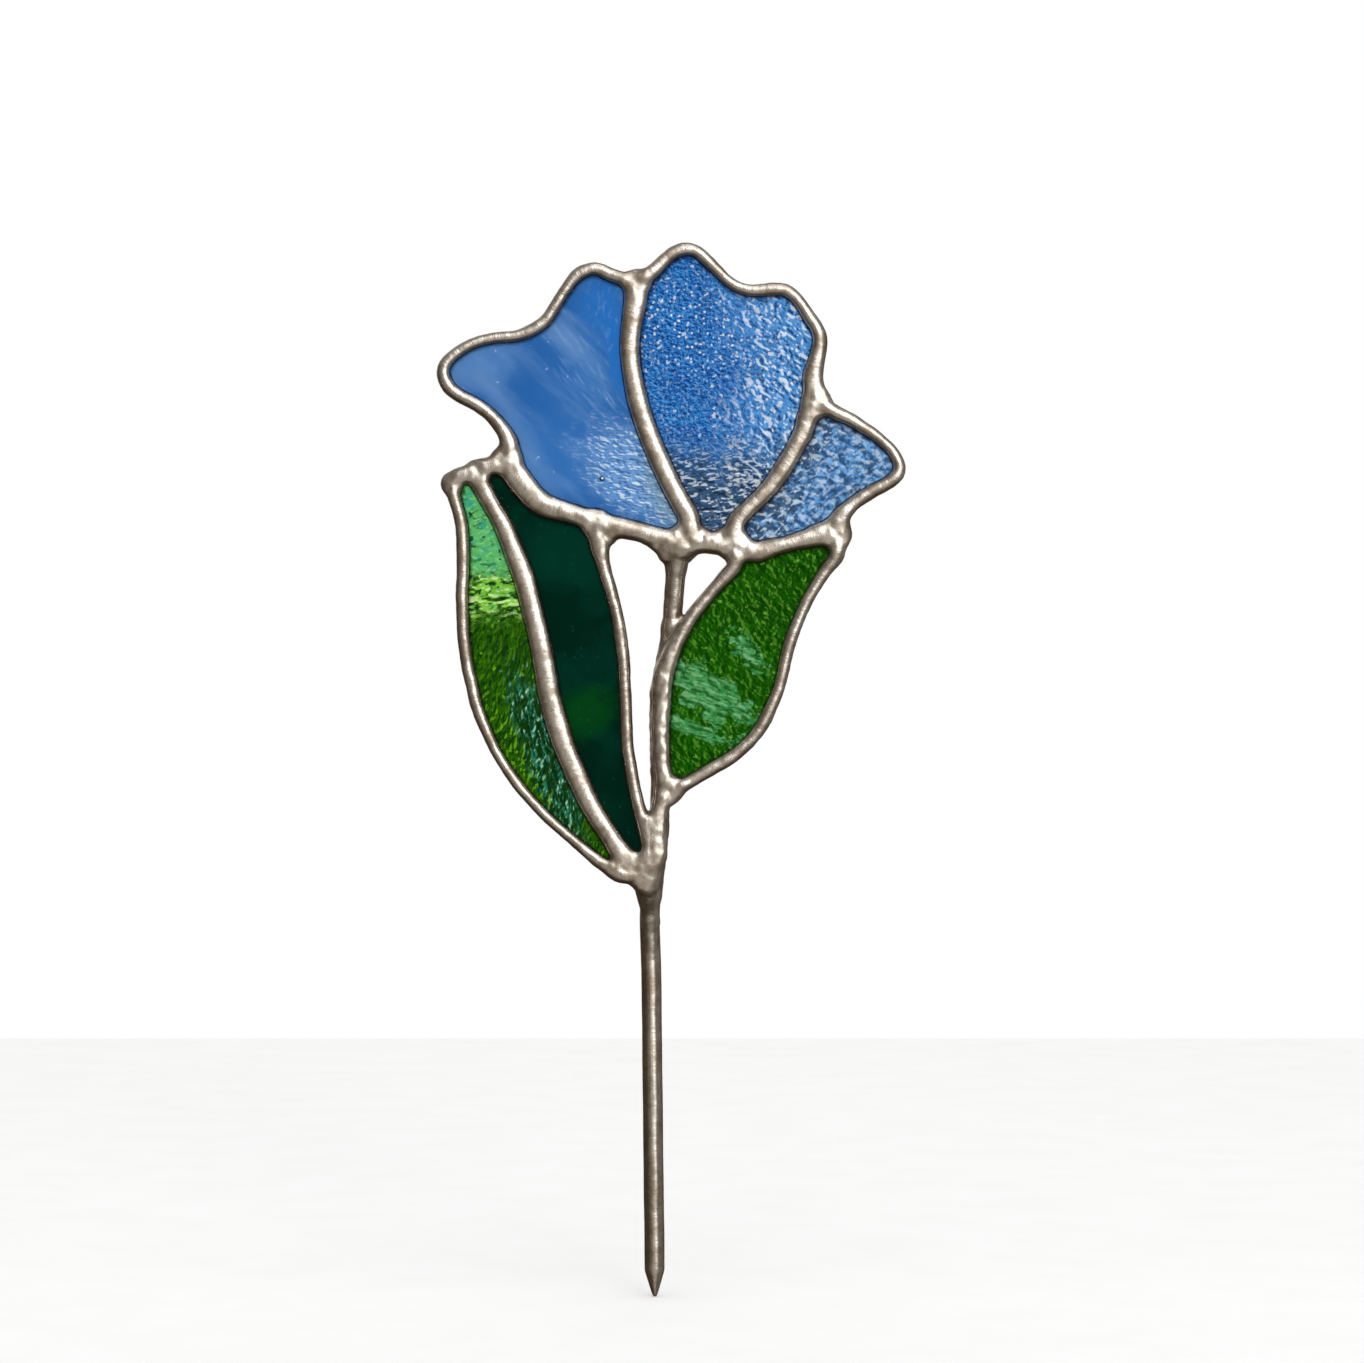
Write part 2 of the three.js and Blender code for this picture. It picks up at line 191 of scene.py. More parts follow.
def reach_of_line(
    points: np.ndarray, path: np.ndarray, lean: np.ndarray
) -> dict[str, np.ndarray]:
    """Measure how far points lie from a line.

    Args:
        points: Points as x and z.
        path: The line's samples as x and z.
        lean: A value at each sample, such as a half width, taken off the distance.

    Returns:
        Arrays by name: edge (distance less lean), lean, along and side.
    """
    start, run = path[:-1], np.diff(path, axis=0)
    length2 = np.maximum((run**2).sum(1), 1e-9)
    steps = np.sqrt(length2)
    before = np.concatenate([[0.0], np.cumsum(steps)[:-1]])
    found = {name: np.empty(len(points)) for name in ("edge", "lean", "along", "side")}
    for first in range(0, len(points), 6000):
        q = points[first : first + 6000]
        dx = q[:, :1] - start[:, 0]
        dz = q[:, 1:] - start[:, 1]
        t = np.clip((dx * run[:, 0] + dz * run[:, 1]) / length2, 0.0, 1.0)
        gap = np.hypot(dx - t * run[:, 0], dz - t * run[:, 1])
        half = lean[:-1] + t * np.diff(lean)
        k = np.argmin(gap - half, axis=1)
        row = np.arange(len(q))
        turn = run[k, 0] * dz[row, k] - run[k, 1] * dx[row, k]
        part = slice(first, first + len(q))
        found["edge"][part] = gap[row, k] - half[row, k]
        found["lean"][part] = half[row, k]
        found["along"][part] = before[k] + t[row, k] * steps[k]
        found["side"][part] = np.sign(turn) * gap[row, k]
    return found


# ---------------------------------------------------------------------------- meshes


def make_piece(
    name: str,
    corners: np.ndarray,
    faces: Sequence[Sequence[int]],
    finish: bpy.types.Material,
    vectors: dict[str, np.ndarray] | None = None,
) -> bpy.types.Object:
    """Make a smooth mesh object from millimetre corners.

    Args:
        name: Name of the piece.
        corners: Corner points in millimetres.
        faces: Corner numbers of each face.
        finish: Material of the piece.
        vectors: Vectors to store at the corners, by attribute name.

    Returns:
        The new object, linked to the scene.
    """
    mesh = bpy.data.meshes.new(name)
    mesh.from_pydata((corners * MM).tolist(), [], faces)
    mesh.validate()
    mesh.polygons.foreach_set("use_smooth", [True] * len(mesh.polygons))
    for label, values in (vectors or {}).items():
        store = mesh.attributes.new(label, "FLOAT_VECTOR", "POINT")
        store.data.foreach_set("vector", np.asarray(values, np.float32).ravel())
    mesh.update()
    mesh.materials.append(finish)
    piece = bpy.data.objects.new(name, mesh)
    bpy.context.scene.collection.objects.link(piece)
    return piece


def stand_in(piece: bpy.types.Object, node: str) -> None:
    """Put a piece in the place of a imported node, on the stake's one body.

    Args:
        piece: The dressed piece.
        node: Name of the node that it replaces.
    """
    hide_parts(node)
    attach(piece, BODY)
    mesh = piece.data
    LOG.info("%s: %d corners, %d faces", piece.name, len(mesh.vertices), len(mesh.polygons))


def skin_of(values: np.ndarray, origin: Sequence[float], step: float) -> tuple[np.ndarray, list]:
    """Lay a skin of four-sided faces where a block of distances passes zero.

    Args:
        values: Distances on a regular block, negative inside the body.
        origin: Place of the first value, in millimetres.
        step: Spacing of the block, in millimetres.

    Returns:
        The skin's corners and its faces.
    """
    inside = values < 0
    dims = values.shape
    cells = tuple(d - 1 for d in dims)

    def corner(block: np.ndarray, at: Sequence[int]) -> np.ndarray:
        """The block's values at one corner of every cell."""
        return block[tuple(slice(o, o + c) for o, c in zip(at, cells))]

    count = sum(corner(inside, at).astype(np.int8) for at in product((0, 1), repeat=3))
    mixed = (count > 0) & (count < 8)
    number = np.full(cells, -1, np.int32)
    number[mixed] = np.arange(int(mixed.sum()))
    total = np.zeros((int(mixed.sum()), 3))
    hits = np.zeros(len(total))
    for axis in range(3):
        for at in product((0, 1), repeat=3):
            if at[axis]:
                continue
            far = tuple(1 if i == axis else at[i] for i in range(3))
            a, b = corner(values, at)[mixed], corner(values, far)[mixed]
            cut = (a < 0) != (b < 0)
            share = np.where(cut, a / np.where(cut, a - b, 1.0), 0.0)
            spot = np.tile(np.array(at, float), (len(a), 1))
            spot[:, axis] += share
            total += spot * cut[:, None]
            hits += cut
    corners = np.array(origin) + (np.argwhere(mixed) + total / hits[:, None]) * step
    faces = []
    for axis in range(3):
        other = [i for i in range(3) if i != axis]
        near = [slice(1, dims[i] - 1) for i in range(3)]
        near[axis] = slice(0, dims[axis] - 1)
        far = list(near)
        far[axis] = slice(1, dims[axis])
        a, b = inside[tuple(near)], inside[tuple(far)]
        for leaving in (True, False):
            spots = np.argwhere(a & ~b if leaving else ~a & b)
            spots[:, other] += 1
            ring = []
            for d0, d1 in ((-1, -1), (0, -1), (0, 0), (-1, 0)):
                cell = spots.copy()
                cell[:, other[0]] += d0
                cell[:, other[1]] += d1
                ring.append(number[tuple(cell.T)])
            if leaving == (axis == 1):
                ring.reverse()
            faces.append(np.column_stack(ring))
    return corners, np.vstack(faces).tolist()


def contours_of(values: np.ndarray, origin: Sequence[float], step: float) -> list[np.ndarray]:
    """Trace the closed lines where a sheet of distances passes zero.

    Args:
        values: Distances on a regular sheet.
        origin: Place of the first value, in millimetres.
        step: Spacing of the sheet, in millimetres.

    Returns:
        One ring of x, z points for each line.
    """
    total: dict[tuple[int, int], list[np.ndarray]] = {}
    links: dict[tuple[int, int], list[tuple[int, int]]] = {}
    for axis in (0, 1):
        a = values[:-1, :] if axis == 0 else values[:, :-1]
        b = values[1:, :] if axis == 0 else values[:, 1:]
        for i, k in np.argwhere((a < 0) != (b < 0)):
            share = a[i, k] / (a[i, k] - b[i, k])
            spot = np.array([i + share, k] if axis == 0 else [i, k + share], float)
            pair = [(i, k - 1), (i, k)] if axis == 0 else [(i - 1, k), (i, k)]
            for cell, mate in (pair, pair[::-1]):
                total.setdefault(cell, []).append(spot)
                links.setdefault(cell, []).append(mate)
    rings, seen = [], set()
    for first in links:
        if first in seen or len(links[first]) != 2:
            continue
        ring, here, back = [], first, None
        while here not in seen:
            seen.add(here)
            ring.append(np.mean(total[here], axis=0))
            mates = [m for m in links[here] if m != back]
            back, here = here, (mates or links[here])[0]
        rings.append(np.array(origin) + np.array(ring) * step)
    return rings


# ---------------------------------------------------------------------------- solder lines

JOINTS: dict[str, tuple[float, float, float]] = {  # x, z and the drop's radius
    "crown_valley": (-3.6, 203.1, 2.2),
    "side_valley": (32.2, 179.5, 2.6),
    "calyx_left": (6.2, 151.9, 3.2),
    "calyx_right": (15.8, 151.0, 2.9),
    "leaf_shoulder": (-11.8, 155.2, 2.4),
    "petal_tip": (36.2, 153.1, 2.7),
    "petal_foot": (-29.5, 167.9, 2.4),
    "leaf_tip": (-40.5, 163.2, 1.7),
    "rib_top": (-35.4, 165.3, 1.9),
    "base": (-2.0, 85.5, 3.0),
    "leaf_foot": (2.8, 102.0, 2.6),
}


@dataclass(frozen=True)
class Bead:
    """One solder bead, traced as x, z and its width as seen from the front."""

    start: str
    end: str
    points: tuple[tuple[float, float, float], ...]

    def path(self) -> np.ndarray:
        """The bead's sampled centre-line, from joint to joint, with its half widths.

        Returns:
            Rows of x, z and half width.
        """
        first, last = JOINTS[self.start], JOINTS[self.end]
        rows = [(first[0], first[1], self.points[0][2]), *self.points]
        rows.append((last[0], last[1], self.points[-1][2]))
        line = follow(rows, 0.8)
        line[:, 2] *= 0.5
        return line


BEADS: dict[str, Bead] = {
    "left_petal_rim": Bead("crown_valley", "petal_foot", (
        (-8.4, 204.6, 2.7), (-12.2, 206.0, 2.5), (-15.0, 205.1, 2.6), (-17.8, 201.9, 2.3),
        (-19.9, 198.6, 2.3), (-22.0, 195.5, 2.4), (-25.3, 193.4, 2.4), (-28.1, 192.5, 2.2),
        (-30.9, 192.3, 2.1), (-33.0, 192.0, 2.1), (-35.2, 191.5, 2.1), (-37.7, 190.4, 2.1),
        (-39.9, 189.0, 2.2), (-41.7, 187.2, 2.4), (-42.3, 185.6, 2.5), (-42.1, 184.3, 2.6),
        (-41.1, 182.4, 2.6), (-39.0, 180.7, 2.5), (-35.8, 179.0, 2.5), (-33.1, 177.1, 2.5),
        (-31.2, 175.0, 2.8), (-29.9, 173.2, 3.1), (-29.1, 171.2, 3.7))),
    "middle_petal_rim": Bead("crown_valley", "side_valley", (
        (-0.1, 205.7, 3.0), (1.8, 207.6, 2.6), (3.6, 209.1, 2.6), (6.5, 209.9, 2.6),
        (8.4, 209.4, 2.3), (10.2, 207.8, 2.4), (12.2, 205.9, 2.2), (14.2, 203.9, 2.1),
        (16.4, 202.4, 2.2), (18.7, 201.7, 2.3), (21.2, 201.7, 2.5), (23.8, 201.9, 2.6),
        (26.0, 201.7, 2.5), (27.9, 200.4, 2.4), (29.5, 198.4, 2.4), (31.0, 196.1, 2.6),
        (32.3, 194.1, 2.7), (32.9, 192.2, 2.9), (32.7, 189.9, 3.0), (32.1, 187.1, 3.4),
        (31.5, 184.5, 4.1))),
    "right_petal_rim": Bead("side_valley", "petal_tip", (
        (36.8, 176.9, 2.9), (39.1, 175.9, 2.6), (41.4, 174.4, 2.4), (43.3, 173.2, 2.3),
        (45.6, 171.4, 2.1), (47.3, 169.7, 2.2), (48.3, 168.1, 2.3), (48.8, 166.6, 2.4),
        (48.6, 165.3, 2.5), (47.8, 164.2, 2.6), (45.9, 162.9, 2.5), (43.7, 161.8, 2.6),
        (41.6, 160.5, 2.6), (39.8, 159.3, 2.7), (38.2, 157.8, 3.2), (36.9, 156.1, 4.0))),
    "petal_seam": Bead("crown_valley", "calyx_left", (
        (-4.0, 198.9, 4.6), (-4.5, 195.9, 4.2), (-4.9, 192.9, 4.0), (-5.0, 189.7, 3.9),
        (-4.7, 186.3, 3.9), (-4.2, 183.1, 4.0), (-3.4, 179.5, 4.1), (-2.3, 175.9, 4.1),
        (-1.0, 172.3, 4.1), (0.7, 168.3, 4.1), (2.1, 165.2, 4.1), (3.7, 161.9, 4.1),
        (5.5, 158.7, 4.1), (6.9, 155.9, 4.2))),
    "right_petal_seam": Bead("side_valley", "calyx_right", (
        (30.4, 176.2, 4.3), (29.6, 173.5, 3.9), (28.2, 170.7, 3.7), (26.5, 167.7, 3.7),
        (24.9, 165.1, 3.7), (23.0, 162.5, 3.5), (20.7, 160.1, 3.4), (18.4, 157.9, 3.4),
        (16.2, 155.3, 3.7))),
    "leaf_seam": Bead("petal_foot", "leaf_shoulder", (
        (-28.0, 165.1, 5.2), (-26.3, 162.9, 5.1), (-24.5, 160.7, 4.9), (-22.7, 159.2, 4.7),
        (-20.4, 158.2, 4.4), (-17.7, 157.4, 4.1), (-15.4, 156.7, 4.0))),
    "calyx_arm": Bead("leaf_shoulder", "calyx_left", (
        (-8.6, 154.7, 4.1), (-5.3, 154.0, 3.9), (-3.0, 153.5, 3.8), (-0.6, 152.6, 4.2),
        (1.8, 151.9, 4.5))),
    "calyx_bridge": Bead("calyx_left", "calyx_right", (
        (10.2, 151.3, 4.0), (13.0, 151.0, 4.0))),
    "right_leaf_seam": Bead("calyx_right", "petal_tip", (
        (20.0, 149.5, 4.3), (23.2, 150.3, 3.6), (25.8, 150.9, 3.3), (28.3, 151.6, 3.5),
        (30.6, 152.2, 3.9), (33.0, 152.9, 4.8))),
    "leaf_top_inner": Bead("petal_foot", "rib_top", ((-32.0, 166.8, 3.8), (-34.6, 166.0, 3.6))),
    "leaf_top_outer": Bead("rib_top", "leaf_tip", ((-37.0, 165.1, 3.5), (-39.4, 164.4, 3.3))),
    "left_leaf_outer_rim": Bead("leaf_tip", "base", (
        (-40.1, 160.5, 2.6), (-39.3, 157.9, 2.4), (-38.7, 155.3, 2.5), (-38.4, 152.5, 2.5),
        (-38.3, 149.5, 2.6), (-38.3, 145.7, 2.5), (-38.5, 141.6, 2.5), (-38.4, 136.3, 2.4),
        (-38.2, 132.5, 2.4), (-37.8, 129.1, 2.4), (-37.3, 126.0, 2.4), (-36.5, 122.8, 2.4),
        (-35.8, 119.4, 2.4), (-34.6, 116.0, 2.3), (-33.3, 113.0, 2.2), (-32.0, 110.2, 2.1),
        (-30.3, 107.3, 2.1), (-28.3, 104.3, 2.2), (-26.3, 101.7, 2.1), (-24.1, 99.2, 2.1),
        (-21.7, 96.7, 2.1), (-19.3, 94.5, 2.1), (-17.0, 92.5, 2.1), (-14.6, 90.5, 2.2),
        (-12.1, 88.4, 2.5), (-9.8, 86.7, 2.6), (-7.0, 84.9, 3.0))),
    "left_leaf_rib": Bead("rib_top", "base", (
        (-35.0, 163.2, 3.6), (-33.8, 161.1, 3.7), (-32.6, 158.8, 3.5), (-31.1, 156.3, 3.6),
        (-29.9, 153.8, 3.8), (-28.6, 150.7, 4.0), (-27.4, 147.6, 4.2), (-26.4, 145.0, 4.3),
        (-25.1, 140.2, 4.2), (-24.3, 137.0, 4.2), (-23.6, 134.2, 4.2), (-22.4, 128.4, 4.3),
        (-21.8, 125.0, 4.4), (-21.2, 121.3, 4.4), (-20.2, 117.3, 4.5), (-19.0, 113.3, 4.5),
        (-17.6, 109.3, 4.3), (-15.7, 104.9, 4.3), (-13.7, 100.5, 4.1), (-11.4, 96.4, 4.0),
        (-9.0, 92.8, 3.9), (-7.1, 89.9, 4.2), (-4.6, 87.5, 4.5))),
    "left_leaf_inner_rim": Bead("leaf_shoulder", "base", (
        (-11.2, 150.9, 3.9), (-10.6, 147.9, 2.9), (-9.8, 144.9, 2.5), (-8.9, 141.9, 2.4),
        (-7.7, 137.3, 2.3), (-7.1, 134.2, 2.4), (-6.7, 131.1, 2.5), (-6.3, 128.0, 2.4),
        (-6.1, 123.9, 2.3), (-5.9, 119.9, 2.3), (-5.7, 115.3, 2.3), (-5.5, 110.8, 2.3),
        (-4.8, 106.2, 2.3), (-4.0, 101.8, 2.4), (-3.1, 97.9, 2.5), (-2.2, 94.3, 2.6),
        (-1.4, 90.9, 2.8))),
    "right_leaf_inner_rim": Bead("calyx_right", "leaf_foot", (
        (15.6, 146.1, 3.0), (14.2, 144.7, 2.9), (12.3, 142.6, 2.5), (10.3, 140.2, 2.6),
        (8.3, 137.8, 2.7), (6.6, 135.3, 2.7), (5.2, 132.9, 2.9), (3.8, 130.3, 3.2),
        (2.7, 127.5, 3.7), (1.8, 124.7, 4.0), (1.45, 119.9, 3.7), (1.2, 115.9, 3.6),
        (1.2, 111.9, 3.5), (1.35, 108.5, 3.4), (1.7, 105.3, 3.4))),
    "right_leaf_outer_rim": Bead("petal_tip", "leaf_foot", (
        (36.2, 148.6, 3.0), (34.5, 146.4, 2.6), (33.0, 144.2, 2.4), (31.7, 142.1, 2.3),
        (30.1, 139.2, 2.3), (28.5, 135.6, 2.3), (27.2, 132.2, 2.4), (26.3, 129.0, 2.4),
        (25.5, 125.4, 2.3), (24.5, 121.6, 2.3), (23.3, 118.9, 2.4), (21.8, 115.6, 2.5),
        (20.0, 112.9, 2.4), (16.8, 109.7, 2.4), (14.2, 107.8, 2.6), (11.8, 106.5, 2.6),
        (9.7, 105.2, 2.5), (7.6, 104.0, 2.5), (5.4, 102.8, 2.6))),
    "rod_fillet": Bead("leaf_foot", "base", (
        (1.2, 98.9, 3.4), (0.8, 95.0, 3.3), (0.8, 91.0, 3.3), (0.4, 88.0, 3.4))),
}

ROD_AXIS = (
    (-0.1, 5.3), (-0.4, 32.0), (-0.8, 66.0), (-1.0, 78.5), (0.0, 87.0), (0.8, 95.0),
    (1.1, 104.0), (1.2, 121.5), (2.4, 128.5), (3.3, 134.5), (3.8, 140.7), (4.2, 147.5),
    (4.6, 151.5),
)

POOLS = (  # x, z and radius of the fillets that round off the corners between two beads
    (-9.5, 152.9, 1.8), (0.9, 150.9, 1.3), (2.2, 148.7, 1.3), (9.5, 152.4, 1.6),
    (13.6, 152.3, 1.6), (-3.4, 83.8, 1.2), (-1.5, 82.8, 1.9),
)


@dataclass(frozen=True)
class Lump:
    """A swelling of solder that ties the rod to the beads in front of it."""

    centre: tuple[float, float, float]
    half: tuple[float, float, float]

    def away(self, x: np.ndarray, y: np.ndarray, z: np.ndarray) -> np.ndarray:
        """Rough distance to the lump's skin."""
        off = [(v - c) / h for v, c, h in zip((x, y, z), self.centre, self.half)]
        return (np.sqrt(off[0] ** 2 + off[1] ** 2 + off[2] ** 2) - 1) * min(self.half)


@dataclass(frozen=True)
class Neck:
    """Solder that ran from a joint down onto the rod, thinner towards its end."""

    top: tuple[float, float, float]
    top_radius: float
    foot: tuple[float, float, float]
    foot_radius: float

    def away(self, x: np.ndarray, y: np.ndarray, z: np.ndarray) -> np.ndarray:
        """Distance to the neck's skin.

        Args:
            x: Places along X.
            y: Places along Y.
            z: Places along Z.

        Returns:
            The distances.
        """
        run = [b - a for a, b in zip(self.top, self.foot)]
        off = [v - a for v, a in zip((x, y, z), self.top)]
        share = (off[0] * run[0] + off[1] * run[1] + off[2] * run[2]) / sum(r * r for r in run)
        t = np.clip(share, 0.0, 1.0)
        gap = np.sqrt(sum((o - t * r) ** 2 for o, r in zip(off, run)))
        return gap - (self.top_radius + t * (self.foot_radius - self.top_radius))


@dataclass
class Sheet:
    """Values over the flower's plane on a regular grid, read smoothly between its samples."""

    low: tuple[float, float]
    step: float
    values: dict[str, np.ndarray]

    def read(self, x: np.ndarray, z: np.ndarray) -> dict[str, np.ndarray]:
        """Read every value at free places.

        Args:
            x: Places along X.
            z: Places along Z.

        Returns:
            The values by name.
        """
        size = next(iter(self.values.values())).shape
        cells, weights = [], []
        for place, low, count in ((x, self.low[0], size[0]), (z, self.low[1], size[1])):
            at = np.clip((place - low) / self.step, 1.0, count - 2.001)
            cell = at.astype(int)
            t = at - cell
            cells.append(cell)
            weights.append((  # a cubic through the four samples round each place
                t * (t * (1 - 0.5 * t) - 0.5), 1 + t * t * (1.5 * t - 2.5),
                t * (0.5 + t * (2 - 1.5 * t)), t * t * (0.5 * t - 0.5),
            ))
        spots = [
            (cells[0] + a - 1, cells[1] + b - 1, weights[0][a] * weights[1][b])
            for a in range(4) for b in range(4)
        ]
        return {
            name: sum(w * value[i, k] for i, k, w in spots)
            for name, value in self.values.items()
        }


@dataclass
class SolderNetwork:
    """All the solder of the flower as one body, found from its lines and drops."""

    sheet_step: float = 0.2
    stride: int = 2
    bead_rise: float = 1.35
    rise_share: float = 0.85
    joint_span: float = 3.2
    most_rise: float = 1.72
    settle_rounds: int = 320
    joint_blend: float = 1.6
    rod_blend: float = 1.1
    sleeve_radius: float = 2.08
    stem_radius: float = 1.95
    sleeve_low: float = 77.5
    sleeve_high: float = 151.0
    sleeve_taper: float = 4.0
    taper_depth: float = 0.42
    stem_zone: tuple[float, float] = (126.0, 136.0)
    waist_zone: tuple[float, float, float, float] = (86.0, 91.0, 102.0, 107.0)
    waist_depth: float = 0.22
    line_margin: float = 4.5
    pull_reach: float = 0.5
    flow_gap: float = 137.0
    rod_half: float = 2.0
    knot_zone: tuple[float, float] = (-0.8, 1.8)
    meeting_zone: tuple[float, float] = (0.35, 1.3)
    span_x: tuple[float, float] = (-46.0, 53.0)
    span_y: tuple[float, float] = (-8.0, 3.0)
    span_z: tuple[float, float] = (62.0, 214.0)
    nudge: float = 0.03
    most_pull: float = 0.15
    least_ring: int = 30
    ring_step: float = 0.4
    ties: tuple[Lump | Neck, ...] = (
        Lump((5.2, -0.9, 150.4), (3.2, 2.5, 3.2)),
        Neck((4.9, -4.4, 150.2), 2.45, (4.25, -3.5, 146.6), 2.0),
        Neck((4.25, -3.5, 146.6), 2.0, (3.3, -2.3, 134.5), 1.9),
        Neck((3.3, -2.3, 134.5), 1.9, (1.0, -2.7, 121.0), 1.8),
        Neck((1.0, -2.7, 121.0), 1.8, (1.0, -2.7, 106.0), 1.75),
        Neck((1.0, -2.7, 106.0), 1.75, (0.8, -0.6, 93.0), 1.75),
        Lump((-1.1, -1.4, 83.0), (2.5, 2.9, 4.5)),
        Neck((-1.6, -4.0, 86.0), 2.8, (-1.15, -2.9, 81.0), 2.25),
        Neck((-1.15, -2.9, 81.0), 2.2, (-0.95, -1.2, 75.5), 1.70),
        Neck((-0.95, -1.2, 75.5), 1.70, (-0.75, -0.1, 64.0), 1.5),
    )
    lines: list[np.ndarray] = field(default_factory=list)
    rod_line: np.ndarray = field(default_factory=lambda: follow(ROD_AXIS, 0.8))
    sheet: Sheet | None = None

    def __post_init__(self) -> None:
        """Sample every bead once and let the solder settle."""
        self.lines = [bead.path() for bead in BEADS.values()]
        self.sheet = self._settle()

    def plan(self, points: np.ndarray) -> dict[str, np.ndarray]:
        """Describe the solder over points of the flower's plane.

        Args:
            points: Points as x and z.

        Returns:
            Arrays by name: edge, half, rise, along, across, joint and rod.
        """
        n = len(points)
        edge = np.full(n, NO_REACH)
        nearest, second = np.full(n, NO_REACH), np.full(n, NO_REACH)
        weight, half, rise = np.full(n, 1e-6), np.full(n, 1e-6), np.full(n, 1e-6)
        along, across, joint = np.zeros(n), np.zeros(n), np.zeros(n)

        def join(pick: np.ndarray, away: np.ndarray, span: np.ndarray) -> None:
            """Blend one line or drop into the running values.

            Args:
                pick: Numbers of the points it reaches.
                away: Their distances to its edge.
                span: Its half width at each.
            """
            edge[pick] = soft_min(edge[pick], away, self.joint_blend)
            pull = np.exp(-np.clip(away, -6.0, NO_REACH) / self.pull_reach)
            weight[pick] += pull
            half[pick] += pull * span
            rise[pick] += pull * np.minimum(self.bead_rise, self.rise_share * span)

        rod = reach_of_line(points, self.rod_line, np.zeros(len(self.rod_line)))
        rod_bead = np.insert(self.rod_line, 2, self.rod_half, axis=1)
        for order, line in enumerate((*self.lines, rod_bead)):
            path = line[:, :2]
            low, high = path.min(0) - self.line_margin, path.max(0) + self.line_margin
            pick = np.flatnonzero(((points > low) & (points < high)).all(1))
            if not len(pick):
                continue
            got = reach_of_line(points[pick], path, line[:, 2])
            if line is not rod_bead:
                join(pick, got["edge"], got["lean"])
            second[pick] = np.minimum(second[pick], np.maximum(nearest[pick], got["edge"]))
            closer = got["edge"] < nearest[pick]
            spot = pick[closer]
            nearest[spot] = got["edge"][closer]
            along[spot] = got["along"][closer] + self.flow_gap * order
            across[spot] = got["side"][closer]
        for x, z, radius in (*JOINTS.values(), *POOLS):
            away = np.hypot(points[:, 0] - x, points[:, 1] - z) - radius
            pick = np.flatnonzero(away < self.line_margin)
            join(pick, away[pick], np.full(len(pick), self.joint_span))
            joint[pick] = np.maximum(joint[pick], 1 - ease(away[pick], *self.knot_zone))
        joint = np.maximum(joint, 1 - ease(second - nearest, *self.meeting_zone))
        return {
            "edge": edge, "half": half / weight, "rise": rise / weight, "along": along,
            "across": across, "joint": joint, "rod": np.abs(rod["edge"]),
        }

    def _settle(self) -> Sheet:
        """Plan the solder on a regular sheet and let it swell as a liquid skin would.

        Returns:
            The plan, with the swell and its slope.
        """
        step = self.sheet_step
        xs, zs = np.arange(*self.span_x, step), np.arange(*self.span_z, step)
        points = np.array(np.meshgrid(xs, zs, indexing="ij")).reshape(2, -1).T
        plan = {k: v.reshape(len(xs), len(zs)) for k, v in self.plan(points).items()}
        edge, half = plan["edge"], plan["half"]
        swell = -edge * (2 * half + np.clip(edge, -half, 0.0))
        inside = edge < 0
        inside[[0, -1], :] = inside[:, [0, -1]] = False
        total, nearby = np.zeros(edge.shape), []
        for axis, shift in product((0, 1), (-1, 1)):
            other = np.roll(edge, shift, axis)
            share = np.clip(edge / np.where((other > 0) & inside, edge - other, -1.0), 0.08, 1.0)
            total += np.where(other > 0, 1 / share, 1.0)
            nearby.append((axis, shift, other <= 0))
        for _ in range(self.settle_rounds):
            pull = sum(np.roll(swell, shift, axis) * wet for axis, shift, wet in nearby)
            swell = np.where(inside, (2 * step * step + pull) / total, swell)
        slope = np.hypot(*np.gradient(swell, step))
        kept = {name: plan[name] for name in ("edge", "half", "rise", "rod")}
        return Sheet((xs[0], zs[0]), step, {**kept, "swell": swell, "slope": slope})

    def depth_at(
        self, plan: dict[str, np.ndarray], x: np.ndarray, y: np.ndarray, z: np.ndarray
    ) -> np.ndarray:
        """Distance to the solder's skin, negative inside.

        Args:
            plan: What the sheet says for the same x and z.
            x: Places along X.
            y: Places along Y.
            z: Places along Z.

        Returns:
            The distances.
        """
        deep = np.abs(y - PANE_MIDDLE)
        wall = plan["edge"] - 0.1 * (1 - np.clip(deep / FOIL_HALF, 0.0, 1.0) ** 2)
        share = (plan["rise"] / plan["half"]) ** 2
        dome = share * plan["swell"]
        dome = dome / np.sqrt(1 + (np.clip(dome, 0.0, None) / self.most_rise**2) ** 2)
        lift = np.clip(deep - FOIL_HALF, 0.0, None)
        steep = np.hypot(2 * lift, share * plan["slope"]) + 0.05
        body = np.clip(np.where(lift > 0, (lift**2 - dome) / steep, wall), -2.0, 6.0)
        taper = np.minimum(z - self.sleeve_low, self.sleeve_high - z)
        stem, waist = ease(z, *self.stem_zone), self.waist_zone
        sleeve = self.sleeve_radius + (self.stem_radius - self.sleeve_radius) * stem
        sleeve = sleeve - self.taper_depth * (1 - ease(taper, 0.0, self.sleeve_taper))
        sleeve = sleeve - self.waist_depth * (ease(z, *waist[:2]) - ease(z, *waist[2:]))
        around = np.sqrt(plan["rod"] ** 2 + y**2) - sleeve
        body = soft_min(body, np.maximum(around, -taper), self.rod_blend)
        for tie in self.ties:
            body = soft_min(body, tie.away(x, y, z), self.rod_blend)
        return body

    def depth(self, points: np.ndarray) -> np.ndarray:
        """Distance of free points to the solder's skin."""
        plan = self.sheet.read(points[:, 0], points[:, 2])
        return self.depth_at(plan, points[:, 0], points[:, 1], points[:, 2])

